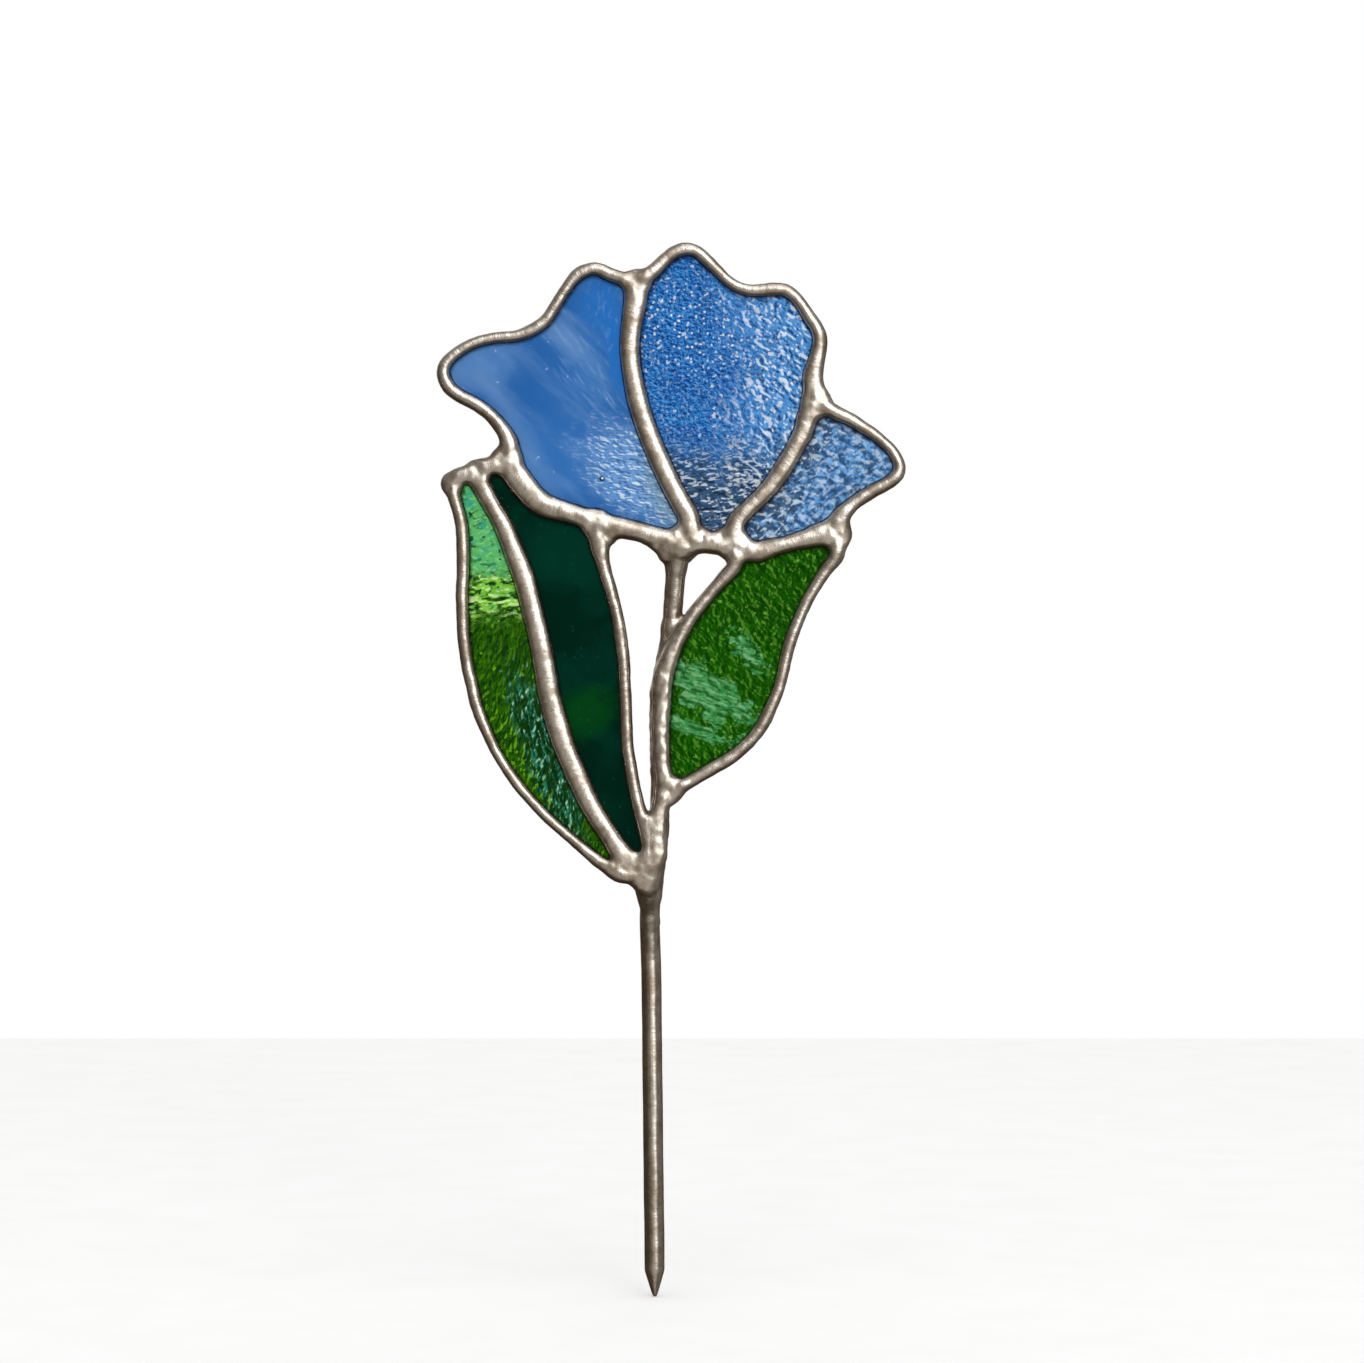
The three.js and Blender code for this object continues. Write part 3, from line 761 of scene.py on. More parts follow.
    def skin(self) -> tuple[np.ndarray, list, dict[str, np.ndarray]]:
        """Find the solder's skin and draw its corners onto it.

        Returns:
            Corners, faces and the plan at the corners.
        """
        step = self.sheet_step * self.stride
        flat = {k: v[:: self.stride, None, :: self.stride] for k, v in self.sheet.values.items()}
        count = flat["edge"].shape
        starts = zip(self.sheet.low, (count[0], count[2]))
        xs, zs = (low + step * np.arange(n) for low, n in starts)
        ys = np.arange(*self.span_y, step)
        block = self.depth_at(flat, xs[:, None, None], ys[None, :, None], zs[None, None, :])
        corners, faces = skin_of(block, (xs[0], ys[0], zs[0]), step)
        for _ in range(3):
            here = self.depth(corners)
            slope = np.column_stack([
                (self.depth(corners + self.nudge * way) - here) / self.nudge for way in np.eye(3)
            ])
            pull = here / np.maximum((slope**2).sum(1), 0.3)
            pull = np.clip(pull, -self.most_pull, self.most_pull)
            corners = corners - pull[:, None] * slope
        return corners, faces, self.plan(corners[:, [0, 2]])

    def windows(self) -> list[np.ndarray]:
        """Trace the edges of the solder as rings, at the level of the glass.

        Returns:
            The rings, anticlockwise.
        """
        kept = []
        for ring in contours_of(self.sheet.values["edge"], self.sheet.low, self.sheet_step):
            if len(ring) > self.least_ring:
                ring = ring if ring_area(ring) > 0 else ring[::-1]
                kept.append(even_ring(ring, self.ring_step))
        return kept

    def build(self, finish: bpy.types.Material) -> None:
        """Make the solder piece, rippled as a hand-run bead is.

        Args:
            finish: The solder's material.
        """
        corners, faces, plan = self.skin()
        mesh_out = outward(corners, faces)
        flow = np.column_stack([plan["along"], plan["across"], plan["joint"]])
        ripple = np.empty(len(corners))
        for i, (p, (s, u, knot)) in enumerate(zip(corners, flow)):
            spot = Vector(p)
            swell = noise.noise(spot * 0.22) * 0.06
            swell += noise.noise(spot * 0.6) * (0.05 + 0.09 * knot)
            band = noise.noise(Vector((s * 1.1, u * 0.35, p[1] * 0.3))) * 0.035 * (1 - knot)
            ripple[i] = swell + band + noise.noise(spot * 1.3) * (0.015 + 0.035 * knot)
        corners = corners + mesh_out * ripple[:, None]
        piece = make_piece("solder_beads", corners, faces, finish, {"bead_flow": flow})
        stand_in(piece, "solder_seams")


def outward(corners: np.ndarray, faces: Sequence[Sequence[int]]) -> np.ndarray:
    """Unit normals at the corners of a mesh of four-sided faces.

    Args:
        corners: The mesh's corners.
        faces: Four corner numbers for each face.

    Returns:
        One unit vector for each corner.
    """
    quads = np.array(faces)
    p = corners[quads]
    flat = np.cross(p[:, 2] - p[:, 0], p[:, 3] - p[:, 1])
    total = np.zeros_like(corners)
    for k in range(4):
        np.add.at(total, quads[:, k], flat)
    return total / np.maximum(np.linalg.norm(total, axis=1), 1e-9)[:, None]


# ---------------------------------------------------------------------------- shader desk


class Desk:
    """Places shader nodes in a tree and wires them with few words."""

    def __init__(self, tree: bpy.types.NodeTree) -> None:
        """Keep the tree that nodes are added to."""
        self.tree = tree

    def feed(self, socket: Socket, value: object) -> None:
        """Wire an output to an input, or set the input's own value.

        Args:
            socket: The input.
            value: An output, or a number or vector.
        """
        if isinstance(value, bpy.types.NodeSocket):
            self.tree.links.new(value, socket)
        else:
            socket.default_value = value

    def add(self, kind: str, inputs: dict | None = None, **settings: object) -> bpy.types.Node:
        """Add a node.

        Args:
            kind: The node's type name.
            inputs: Values or sockets for its inputs, by name or number.
            **settings: Attributes of the node.

        Returns:
            The node.
        """
        node = self.tree.nodes.new(kind)
        for key, value in settings.items():
            setattr(node, key, value)
        for key, value in (inputs or {}).items():
            self.feed(node.inputs[key], value)
        return node

    def sum(self, how: str, a: object, b: object = 0.0, clamp: bool = False) -> Socket:
        """Combine two numbers with a Math node and return its output."""
        return self.add("ShaderNodeMath", {0: a, 1: b}, operation=how, use_clamp=clamp).outputs[0]

    def times(self, a: object, b: object) -> Socket:
        """Multiply two numbers."""
        return self.sum("MULTIPLY", a, b)

    def plus(self, a: object, b: object, clamp: bool = False) -> Socket:
        """Add two numbers, kept within 0 and 1 if asked."""
        return self.sum("ADD", a, b, clamp)

    def minus(self, a: object, b: object, clamp: bool = False) -> Socket:
        """Take one number from another, kept within 0 and 1 if asked."""
        return self.sum("SUBTRACT", a, b, clamp)

    def vector(self, how: str, a: object, b: object) -> Socket:
        """Combine two vectors with a Vector Math node and return its output."""
        return self.add("ShaderNodeVectorMath", {0: a, 1: b}, operation=how).outputs[0]

    def join(self, x: object, y: object, z: object) -> Socket:
        """Make a vector of three numbers."""
        return self.add("ShaderNodeCombineXYZ", {0: x, 1: y, 2: z}).outputs[0]

    def split(self, vector: Socket) -> bpy.types.NodeOutputs:
        """The three numbers of a vector."""
        return self.add("ShaderNodeSeparateXYZ", {0: vector}).outputs

    def fade(
        self, value: object, low: object, high: object, start: float = 0.0, end: float = 1.0
    ) -> Socket:
        """Remap a number smoothly from low..high to start..end.

        Args:
            value: The number.
            low: Where the change starts.
            high: Where it ends.
            start: Result at low.
            end: Result at high.

        Returns:
            The result.
        """
        ends = {"From Min": low, "From Max": high, "To Min": start, "To Max": end}
        settings = {"interpolation_type": "SMOOTHSTEP"}
        return self.add("ShaderNodeMapRange", {"Value": value, **ends}, **settings).outputs[0]

    def blend(self, share: object, first: object, second: object, how: str = "MIX") -> Socket:
        """Mix two colours and return the result.

        Args:
            share: Share of the second colour.
            first: First colour.
            second: Second colour.
            how: How the two are combined.

        Returns:
            The mixed colour.
        """
        node = self.add("ShaderNodeMix", {0: share}, data_type="RGBA", blend_type=how)
        for key, value in ((6, first), (7, second)):
            self.feed(node.inputs[key], (*value, 1.0) if isinstance(value, tuple) else value)
        return node.outputs[2]

    def grain(
        self, point: Socket, scale: object, detail: float = 3.0, rough: float = 0.5,
        bend: float = 0.0,
    ) -> Socket:
        """Noise on points in millimetres; scale counts its features per millimetre."""
        inputs = {"Scale": scale, "Detail": detail, "Roughness": rough, "Distortion": bend}
        return self.add("ShaderNodeTexNoise", {"Vector": point, **inputs}).outputs[0]

    def group(self, tree: bpy.types.NodeTree, **inputs: object) -> bpy.types.Node:
        """Place a shared group and set or wire its inputs."""
        return self.add("ShaderNodeGroup", inputs, node_tree=tree)


class EffectDesk(Desk):
    """A desk for one new node group, with the group's inputs by name."""

    def __init__(self, name: str, gives: Sequence[str], **takes: object) -> None:
        """Open the group.

        Args:
            name: The group's name.
            gives: Names of its outputs, all of them numbers.
            **takes: Its inputs, each with its default number or vector.
        """
        super().__init__(bpy.data.node_groups.new(name, "ShaderNodeTree"))
        new_socket = self.tree.interface.new_socket
        for label, value in takes.items():
            kind = "NodeSocketVector" if isinstance(value, tuple) else "NodeSocketFloat"
            new_socket(name=label, in_out="INPUT", socket_type=kind).default_value = value
        for label in gives:
            new_socket(name=label, in_out="OUTPUT", socket_type="NodeSocketFloat")
        self.take = self.tree.nodes.new("NodeGroupInput").outputs
        self.out = self.tree.nodes.new("NodeGroupOutput").inputs

    def close(self, **values: Socket) -> bpy.types.NodeTree:
        """Wire the group's outputs and return the group.

        Args:
            **values: The value for each output.

        Returns:
            The finished group.
        """
        for label, value in values.items():
            self.tree.links.new(value, self.out[label])
        return self.tree

    def turned(self, point: Socket) -> Socket:
        """Turn points about the Y axis by the group's tilt, in radians."""
        inputs = {"Vector": point, "Angle": self.take["Tilt"]}
        return self.add("ShaderNodeVectorRotate", inputs, rotation_type="Y_AXIS").outputs[0]

    def stretched(self, point: Socket, along: str, cross: str) -> Socket:
        """Divide points by two of the group's lengths and shift them by its seed.

        Args:
            point: The points.
            along: Name of the length for X and Y.
            cross: Name of the length for Z.

        Returns:
            The points at which a pattern is read.
        """
        flat, high = (self.sum("DIVIDE", 1.0, self.take[name]) for name in (along, cross))
        spot = self.vector("MULTIPLY", point, self.join(flat, flat, high))
        return self.vector("ADD", spot, self.join(0.0, self.take["Seed"], 0.0))

    def warped(self, point: Socket, scale: float, detail: float, push: float) -> Socket:
        """Shift points by noise, so that a pattern on them isn't regular.

        Args:
            point: The points.
            scale: Scale of the noise.
            detail: Detail of the noise.
            push: How far it shifts them.

        Returns:
            The shifted points.
        """
        inputs = {"Vector": point, "Scale": scale, "Detail": detail}
        shove = self.add("ShaderNodeTexNoise", inputs).outputs[1]
        return self.vector("ADD", point, self.vector("MULTIPLY", shove, (push, push, push)))


class SharedEffects:
    """The node groups that more than one finish uses."""

    def __init__(self) -> None:
        """Build each group once."""
        self.streak = self._streak()
        self.patch = self._patch()
        self.rolled = self._rolled()
        self.specks = self._specks()
        self.rim_shade = self._rim_shade()
        self.handwork = self._handwork()

    def _streak(self) -> bpy.types.NodeTree:
        """Drawn-out streaks, as pulled colour in the sheet.

        Returns:
            The node group.
        """
        desk = EffectDesk(
            "pulled_streaks", ("Mask",), Point=NOWHERE, Tilt=0.0, Length=8.0, Width=1.0,
            Low=0.5, High=0.65, Seed=0.0,
        )
        spot = desk.stretched(desk.turned(desk.take["Point"]), "Length", "Width")
        value = desk.grain(spot, 1.0, 4.0, 0.55, 0.35)
        return desk.close(Mask=desk.fade(value, desk.take["Low"], desk.take["High"]))

    def _patch(self) -> bpy.types.NodeTree:
        """A soft region with a ragged edge, for colour that pools in one place.

        Returns:
            The node group.
        """
        desk = EffectDesk(
            "pooled_colour", ("Mask",), Point=NOWHERE, Centre=NOWHERE, Tilt=0.0, Length=10.0,
            Width=4.0, Feather=0.4, Ragged=0.4, Grain=3.0,
        )
        take = desk.take
        away = desk.turned(desk.vector("SUBTRACT", take["Point"], take["Centre"]))
        lie = desk.vector("DIVIDE", away, desk.join(take["Length"], 1000.0, take["Width"]))
        far = desk.add("ShaderNodeVectorMath", {0: lie}, operation="LENGTH").outputs["Value"]
        small = desk.grain(take["Point"], desk.sum("DIVIDE", 1.0, take["Grain"]), 4.0, 0.6)
        wobble = desk.times(desk.times(desk.minus(small, 0.5), take["Ragged"]), 2.0)
        low, high = desk.minus(1.0, take["Feather"]), desk.plus(1.0, take["Feather"])
        return desk.close(Mask=desk.fade(desk.plus(far, wobble), low, high, 1.0, 0.0))

    def _rolled(self) -> bpy.types.NodeTree:
        """A rolled face: its relief, a painted highlight on the slopes that face the light and
        painted shade on those that face away.

        Returns:
            The node group.
        """
        desk = EffectDesk(
            "rolled_face", ("Glint", "Trough", "Height"), Point=NOWHERE, Tilt=0.0, Long=1.0,
            Short=1.0, Seed=0.0,
        )
        spot = desk.stretched(desk.turned(desk.take["Point"]), "Long", "Short")
        pushed = desk.warped(spot, 0.55, 1.0, 0.9)
        near = desk.grain(pushed, 1.0, 1.5)
        far = desk.grain(desk.vector("ADD", pushed, (0.1, 0.0, 0.22)), 1.0, 1.5)
        lean = desk.minus(near, far)
        # painted light from the slope of the relief: glint where it faces the light, shade where it
        # faces away
        glint, painted_shade = desk.fade(lean, 0.045, 0.090), desk.fade(lean, -0.030, -0.080)
        return desk.close(Glint=glint, Trough=painted_shade, Height=near)

    def _specks(self) -> bpy.types.NodeTree:
        """Small round marks scattered through the sheet.

        Returns:
            The node group.
        """
        desk = EffectDesk(
            "scattered_specks", ("Mask",), Point=NOWHERE, Cell=1.0, Size=0.4, Share=0.5, Seed=0.0
        )
        take = desk.take
        spot = desk.warped(desk.stretched(take["Point"], "Cell", "Cell"), 2.3, 2.0, 0.8)
        cell = desk.add("ShaderNodeTexVoronoi", {"Vector": spot, "Scale": 1.0}, feature="F1")
        lot = desk.add("ShaderNodeSeparateColor", {0: cell.outputs["Color"]}).outputs[0]
        core = desk.times(take["Size"], 0.55)
        mark = desk.fade(cell.outputs["Distance"], take["Size"], core)
        return desk.close(Mask=desk.times(mark, desk.sum("LESS_THAN", lot, take["Share"])))

    def _rim_shade(self) -> bpy.types.NodeTree:
        """Painted shade that a bead throws on the sheet beside it, wider under the upper beads,
        over a thin dull line of flux all round.

        Returns:
            The node group.
        """
        desk = EffectDesk("rim_shade", ("Mask",), Rim=NOWHERE, Wobble=0.5)
        gap, across, high = desk.split(desk.take["Rim"])
        # painted shadow: the band widens where the bead lies above the sheet, as if lit from above
        lean = desk.plus(desk.times(across, -0.35), desk.times(high, 0.9))
        width = desk.fade(lean, -0.4, 0.8, 0.22, 0.95)
        width = desk.times(width, desk.plus(desk.take["Wobble"], 0.5))
        return desk.close(Mask=desk.fade(desk.sum("DIVIDE", gap, width), 1.0, 0.25))

    def _handwork(self) -> bpy.types.NodeTree:
        """Ripples, pits and tarnish of hand-run or hand-tinned metal.

        Returns:
            The node group.
        """
        desk = EffectDesk(
            "hand_run_metal", ("Tone", "Pit", "Height", "Rough"), Point=NOWHERE, Flow=NOWHERE,
            Ripple=1.0,
        )
        point, flow = desk.take["Point"], desk.take["Flow"]
        fan = desk.grain(desk.vector("MULTIPLY", flow, (1.7, 0.5, 0.0)), 1.0, 4.0, 0.6, 0.9)
        loose = desk.grain(point, 0.9, 4.0, 0.6)
        open_run = desk.minus(1.0, desk.split(flow)[2], clamp=True)
        ripple = desk.times(desk.times(fan, open_run), desk.take["Ripple"])
        tone = desk.grain(point, 0.25, 5.0, 0.65, 0.3)
        pit = desk.fade(desk.grain(point, 2.2, 2.0), 0.72, 0.77)
        height = desk.minus(desk.plus(ripple, desk.times(loose, 0.5)), desk.times(pit, 0.8))
        rough = desk.plus(desk.times(tone, 0.5), desk.times(loose, 0.3))
        return desk.close(Tone=tone, Pit=pit, Height=height, Rough=rough)


def start_material(name: str) -> tuple[bpy.types.Material, Desk, bpy.types.Node, Socket]:
    """Make an empty material.

    Args:
        name: The material's name.

    Returns:
        The material, a desk for its tree, its shader and the surface point in millimetres.
    """
    material = bpy.data.materials.new(name)
    material.use_nodes = True
    desk = Desk(material.node_tree)
    shader = material.node_tree.nodes["Principled BSDF"]
    place = desk.add("ShaderNodeTexCoord").outputs["Object"]
    return material, desk, shader, desk.vector("MULTIPLY", place, (1 / MM, 1 / MM, 1 / MM))


def wire(
    desk: Desk, shader: bpy.types.Node, colour: Socket, rough: Socket, height: Socket,
    strength: float, lift: float,
) -> None:
    """Join colour, roughness and relief to a shader.

    Args:
        desk: Desk of the material's tree.
        shader: Its Principled BSDF.
        colour: Base colour.
        rough: Roughness.
        height: Relief height.
        strength: Strength of the bump.
        lift: Real height of the relief, in millimetres.
    """
    desk.tree.links.new(colour, shader.inputs["Base Color"])
    desk.tree.links.new(rough, shader.inputs["Roughness"])
    inputs = {"Strength": strength, "Distance": lift * MM, "Height": height}
    desk.tree.links.new(desk.add("ShaderNodeBump", inputs).outputs[0], shader.inputs["Normal"])


# ---------------------------------------------------------------------------- metal finishes


@dataclass(frozen=True)
class TinnedMetal:
    """Bright solder or tinned wire with random tarnish and pits, browned on its sides by patina and
    painted shade, and underneath by painted shade.
    """

    name: str
    bright: Colour = (0.88, 0.845, 0.80)
    dull: Colour = (0.57, 0.52, 0.465)
    brown: Colour = (0.25, 0.172, 0.10)
    rough_low: float = 0.20
    rough_high: float = 0.38
    ripple: float = 1.0
    relief: float = 0.10
    side_start: float = 0.75
    side_end: float = 0.15
    side_share: float = 0.85

    def make(self, effects: SharedEffects) -> bpy.types.Material:
        """Build the material.

        Args:
            effects: The shared node groups.

        Returns:
            The material.
        """
        material, desk, shader, point = start_material(self.name)
        flow = desk.add("ShaderNodeAttribute", attribute_name="bead_flow").outputs["Vector"]
        hand = desk.group(effects.handwork, Point=point, Flow=flow, Ripple=self.ripple).outputs
        tone = hand["Tone"]
        way = desk.split(desk.add("ShaderNodeNewGeometry").outputs["Normal"])
        # brown on faces turned away from the front: patina at a bead's foot, painted shade on the
        # rest
        side = desk.fade(desk.sum("ABSOLUTE", way[1]), self.side_start, self.side_end)
        # painted shade on faces that turn downward
        under = desk.fade(desk.plus(way[2], desk.times(tone, 0.5)), 0.0, -0.5, 0.0, 0.55)
        stain = desk.fade(tone, 0.48, 0.70, -0.08, 0.5)
        side = desk.plus(desk.plus(side, under), stain, clamp=True)
        metal = desk.blend(desk.fade(tone, 0.34, 0.64), self.bright, self.dull)
        metal = desk.blend(desk.times(side, self.side_share), metal, self.brown)
        metal = desk.blend(hand["Pit"], metal, self.brown)
        rough = desk.fade(hand["Rough"], 0.25, 0.6, self.rough_low, self.rough_high)
        rough = desk.plus(rough, desk.times(side, 0.12))
        wire(desk, shader, metal, rough, hand["Height"], 0.6, self.relief)
        shader.inputs["Metallic"].default_value = 1.0
        return material


@dataclass(frozen=True)
class DarkFoil:
    """Copper foil, darkened at the edge that shows beside a bead."""

    name: str = "darkened_copper_foil"
    dark: Colour = (0.016, 0.012, 0.009)
    copper: Colour = (0.17, 0.085, 0.05)

    def make(self) -> bpy.types.Material:
        """Build the material.

        Returns:
            The material.
        """
        material, desk, shader, point = start_material(self.name)
        worn = desk.grain(point, 0.8, 4.0, 0.6)
        colour = desk.blend(desk.fade(worn, 0.52, 0.72), self.dark, self.copper)
        rough = desk.fade(worn, 0.3, 0.7, 0.35, 0.6)
        wire(desk, shader, colour, rough, desk.grain(point, 3.0), 0.4, 0.03)
        shader.inputs["Metallic"].default_value = 1.0
        return material


# ---------------------------------------------------------------------------- glass finishes


@dataclass(frozen=True)
class GlassFinish:
    """What all six sheets share; each kind paints its own colour and relief."""

    name: str
    clear: float = 0.45
    rough_low: float = 0.05
    rough_high: float = 0.16
    strength: float = 0.7
    relief: float = 0.25
    gloss: float = 0.03
    bend: float = 1.3
    # colour of the thin flux line and of the painted shade that the beads throw on the sheet
    flux_and_painted_shade: Colour = (0.22, 0.26, 0.30)
    flux_and_painted_shade_share: float = 0.7

    def paint(self, brush: "GlassBrush") -> tuple[Socket, Socket]:
        """Lay the sheet's colour and relief; each kind of sheet has its own."""
        raise NotImplementedError

    def make(self, effects: SharedEffects) -> bpy.types.Material:
        """Build the material.

        Args:
            effects: The shared node groups.

        Returns:
            The material.
        """
        material, desk, shader, point = start_material(self.name)
        colour, height = self.paint(GlassBrush(desk, effects, point))
        rim = desk.add("ShaderNodeAttribute", attribute_name="rim_view").outputs["Vector"]
        wobble = desk.grain(point, 0.7, 3.0)
        shade = desk.group(effects.rim_shade, Rim=rim, Wobble=wobble).outputs["Mask"]
        # darken the sheet with the painted shade of the beads and the thin flux line
        colour = desk.blend(desk.times(shade, self.flux_and_painted_shade_share), colour, self.flux_and_painted_shade, "MULTIPLY")
        rough = desk.fade(desk.grain(point, 0.3, 3.0), 0.3, 0.7, self.rough_low, self.rough_high)
        wire(desk, shader, colour, rough, height, self.strength, self.relief)
        shader.inputs["Transmission Weight"].default_value = self.clear
        shader.inputs["IOR"].default_value = self.bend
        shader.inputs["Specular IOR Level"].default_value = self.gloss
        return material


class GlassBrush:
    """Lays marks on one sheet of glass with the shared groups."""

    def __init__(self, desk: Desk, effects: SharedEffects, point: Socket) -> None:
        """Keep what every mark needs.

        Args:
            desk: Desk of the material's tree.
            effects: The shared node groups.
            point: Surface point in millimetres.
        """
        self.desk, self.effects, self.point = desk, effects, point

    def patch(
        self, x: float, z: float, length: float, width: float, tilt: float = 0.0,
        feather: float = 0.4, ragged: float = 0.4, grain: float = 3.0,
    ) -> Socket:
        """Mask of one pool of colour.

        Args:
            x: Centre of the pool along X.
            z: Centre of the pool along Z.
            length: Half length.
            width: Half width.
            tilt: Lean of its length above the X axis, in degrees.
            feather: Softness of the edge.
            ragged: How far noise moves the edge.
            grain: Size of that noise, in millimetres.

        Returns:
            The mask.
        """
        lie = {"Centre": (x, 0.0, z), "Tilt": math.radians(tilt), "Length": length}
        edge = {"Width": width, "Feather": feather, "Ragged": ragged, "Grain": grain}
        return self.desk.group(self.effects.patch, Point=self.point, **lie, **edge).outputs[0]

    def streaks(
        self, tilt: float, length: float, width: float, low: float, high: float, seed: float
    ) -> Socket:
        """Mask of streaks drawn out through the sheet.

        Args:
            tilt: Lean of the streaks, in degrees.
            length: Their length.
            width: Their width.
            low: Noise at which they start.
            high: Noise at which they are full.
            seed: Keeps two sets of streaks apart.

        Returns:
            The mask.
        """
        lie = {"Tilt": math.radians(tilt), "Length": length, "Width": width, "Seed": seed}
        node = self.desk.group(self.effects.streak, Point=self.point, Low=low, High=high, **lie)
        return node.outputs[0]

    def rolled(
        self, tilt: float, long_way: float, short_way: float, seed: float
    ) -> bpy.types.NodeOutputs:
        """Painted glint, painted shade and height of a rolled face whose marks lean by tilt
        degrees.
        """
        lie = {"Tilt": math.radians(tilt), "Long": long_way, "Short": short_way, "Seed": seed}
        return self.desk.group(self.effects.rolled, Point=self.point, **lie).outputs

    def specks(self, cell: float, size: float, share: float, seed: float) -> Socket:
        """Mask of small round marks."""
        lie = {"Cell": cell, "Size": size, "Share": share, "Seed": seed}
        return self.desk.group(self.effects.specks, Point=self.point, **lie).outputs[0]

    def cloud(
        self, scale: float, low: float, high: float, detail: float = 3.0, bend: float = 0.4
    ) -> Socket:
        """Mask of soft clouds; scale counts them per millimetre."""
        return self.desk.fade(self.desk.grain(self.point, scale, detail, 0.5, bend), low, high)

    def veins(self, scale: float, width: float) -> Socket:
        """Mask of thin wandering lines."""
        off = self.desk.minus(self.desk.grain(self.point, scale, 3.0, 0.5, 0.3), 0.5)
        return self.desk.fade(self.desk.sum("ABSOLUTE", off), width, width * 0.2)

    def coat(self, colour: object, *layers: tuple) -> Socket:
        """Lay colours over one another, each through the product of its masks.

        Args:
            colour: The colour below them all.
            *layers: From the lowest up, each with its strength, its colour and its masks.

        Returns:
            The colour seen from above.
        """
        for share, paint, *masks in layers:
            for mask in masks:
                share = self.desk.times(share, mask)
            colour = self.desk.blend(share, colour, paint)
        return colour


@dataclass(frozen=True)
class WispyBlue(GlassFinish):
    """Mid-blue sheet with pale wisps and a rippled, watery corner."""

    body: Colour = (0.037, 0.185, 0.52)
    deep: Colour = (0.023, 0.146, 0.45)
    wisp: Colour = (0.20, 0.38, 0.68)
    bright: Colour = (0.020, 0.185, 0.60)
    water: Colour = (0.26, 0.52, 0.90)
    glint_white: Colour = (0.80, 0.93, 1.0)
    # near-white of the painted glints
    navy: Colour = (0.03, 0.095, 0.27)
    steel: Colour = (0.25, 0.38, 0.44)
    bubble: Colour = (0.012, 0.03, 0.075)

    def paint(self, brush: GlassBrush) -> tuple[Socket, Socket]:
        """Lay the wisps, the bright streak, the water and the seed bubble.

        Args:
            brush: Brush on the material's tree.

        Returns:
            The sheet's colour and relief.
        """
        desk, patch, streaks = brush.desk, brush.patch, brush.streaks
        wet = patch(-0.5, 164.0, 14.0, 8.0, -30.0, 0.45, 0.6, 4.0)
        corner = patch(2.6, 160.5, 7.5, 3.2, -62.0, 0.6, 0.5)
        wave = brush.rolled(-8, 1.8, 0.9, 3.0)
        flank = patch(-15.0, 187.0, 15.0, 4.5, -55.0, 0.6)
        crown = patch(-9.5, 196.0, 8.0, 3.4, 98.0, 0.6)
        # Painted light: the near-white layers through the wave's Glint mask, the scattered
        # near-white specks and the bubble's pale centre are painted glints; the navy layers on the
        # wave's shaded slopes are painted shade.
        colour = brush.coat(
            desk.blend(brush.cloud(0.07, 0.35, 0.65, 2.0), self.deep, self.body),
            (0.30, self.wisp, streaks(-42, 12.0, 2.8, 0.42, 0.75, 0.0)),
            (0.25, self.deep, streaks(-38, 5.0, 1.6, 0.50, 0.66, 5.0)),
            (0.65, self.wisp, streaks(-52, 5.0, 0.75, 0.50, 0.68, 7.0), flank),
            (0.40, self.wisp, patch(-36.5, 186.0, 8.0, 4.5, 10.0, 0.7)),
            (0.35, self.wisp, patch(-26.5, 171.0, 14.0, 2.6, -62.0, 0.8)),
            (0.55, self.wisp, patch(-18.0, 192.4, 8.0, 2.3, -46.0, 0.8, 0.5)),
            (0.95, self.bright, patch(-7.9, 190.5, 10.0, 1.9, 98.0, 0.4, 1.0, 2.5)),
            (0.65, self.bright, patch(-11.0, 198.5, 6.0, 4.0, 100.0, 0.5, 1.2, 2.0)),
            (0.55, self.wisp, streaks(80, 2.4, 0.9, 0.50, 0.72, 3.0), crown),
            (0.60, self.water, wet),
            (0.75, self.navy, wet, wave["Trough"]),
            (0.95, self.glint_white, wet, wave["Glint"]),
            (0.55, self.steel, corner),
            (0.45, self.navy, corner, wave["Trough"]),
            (0.30, self.glint_white, brush.specks(3.4, 0.13, 0.6, 2.0)),
            (1.00, self.bubble, patch(-10.6, 164.1, 0.55, 0.5, 0.0, 0.15, 0.1)),
            (1.00, self.glint_white, patch(-10.5, 164.2, 0.25, 0.22, 0.0, 0.3, 0.1)),
        )
        height = desk.times(wave["Height"], desk.plus(wet, 0.06))
        return colour, desk.plus(height, desk.times(desk.grain(brush.point, 0.7), 0.16))


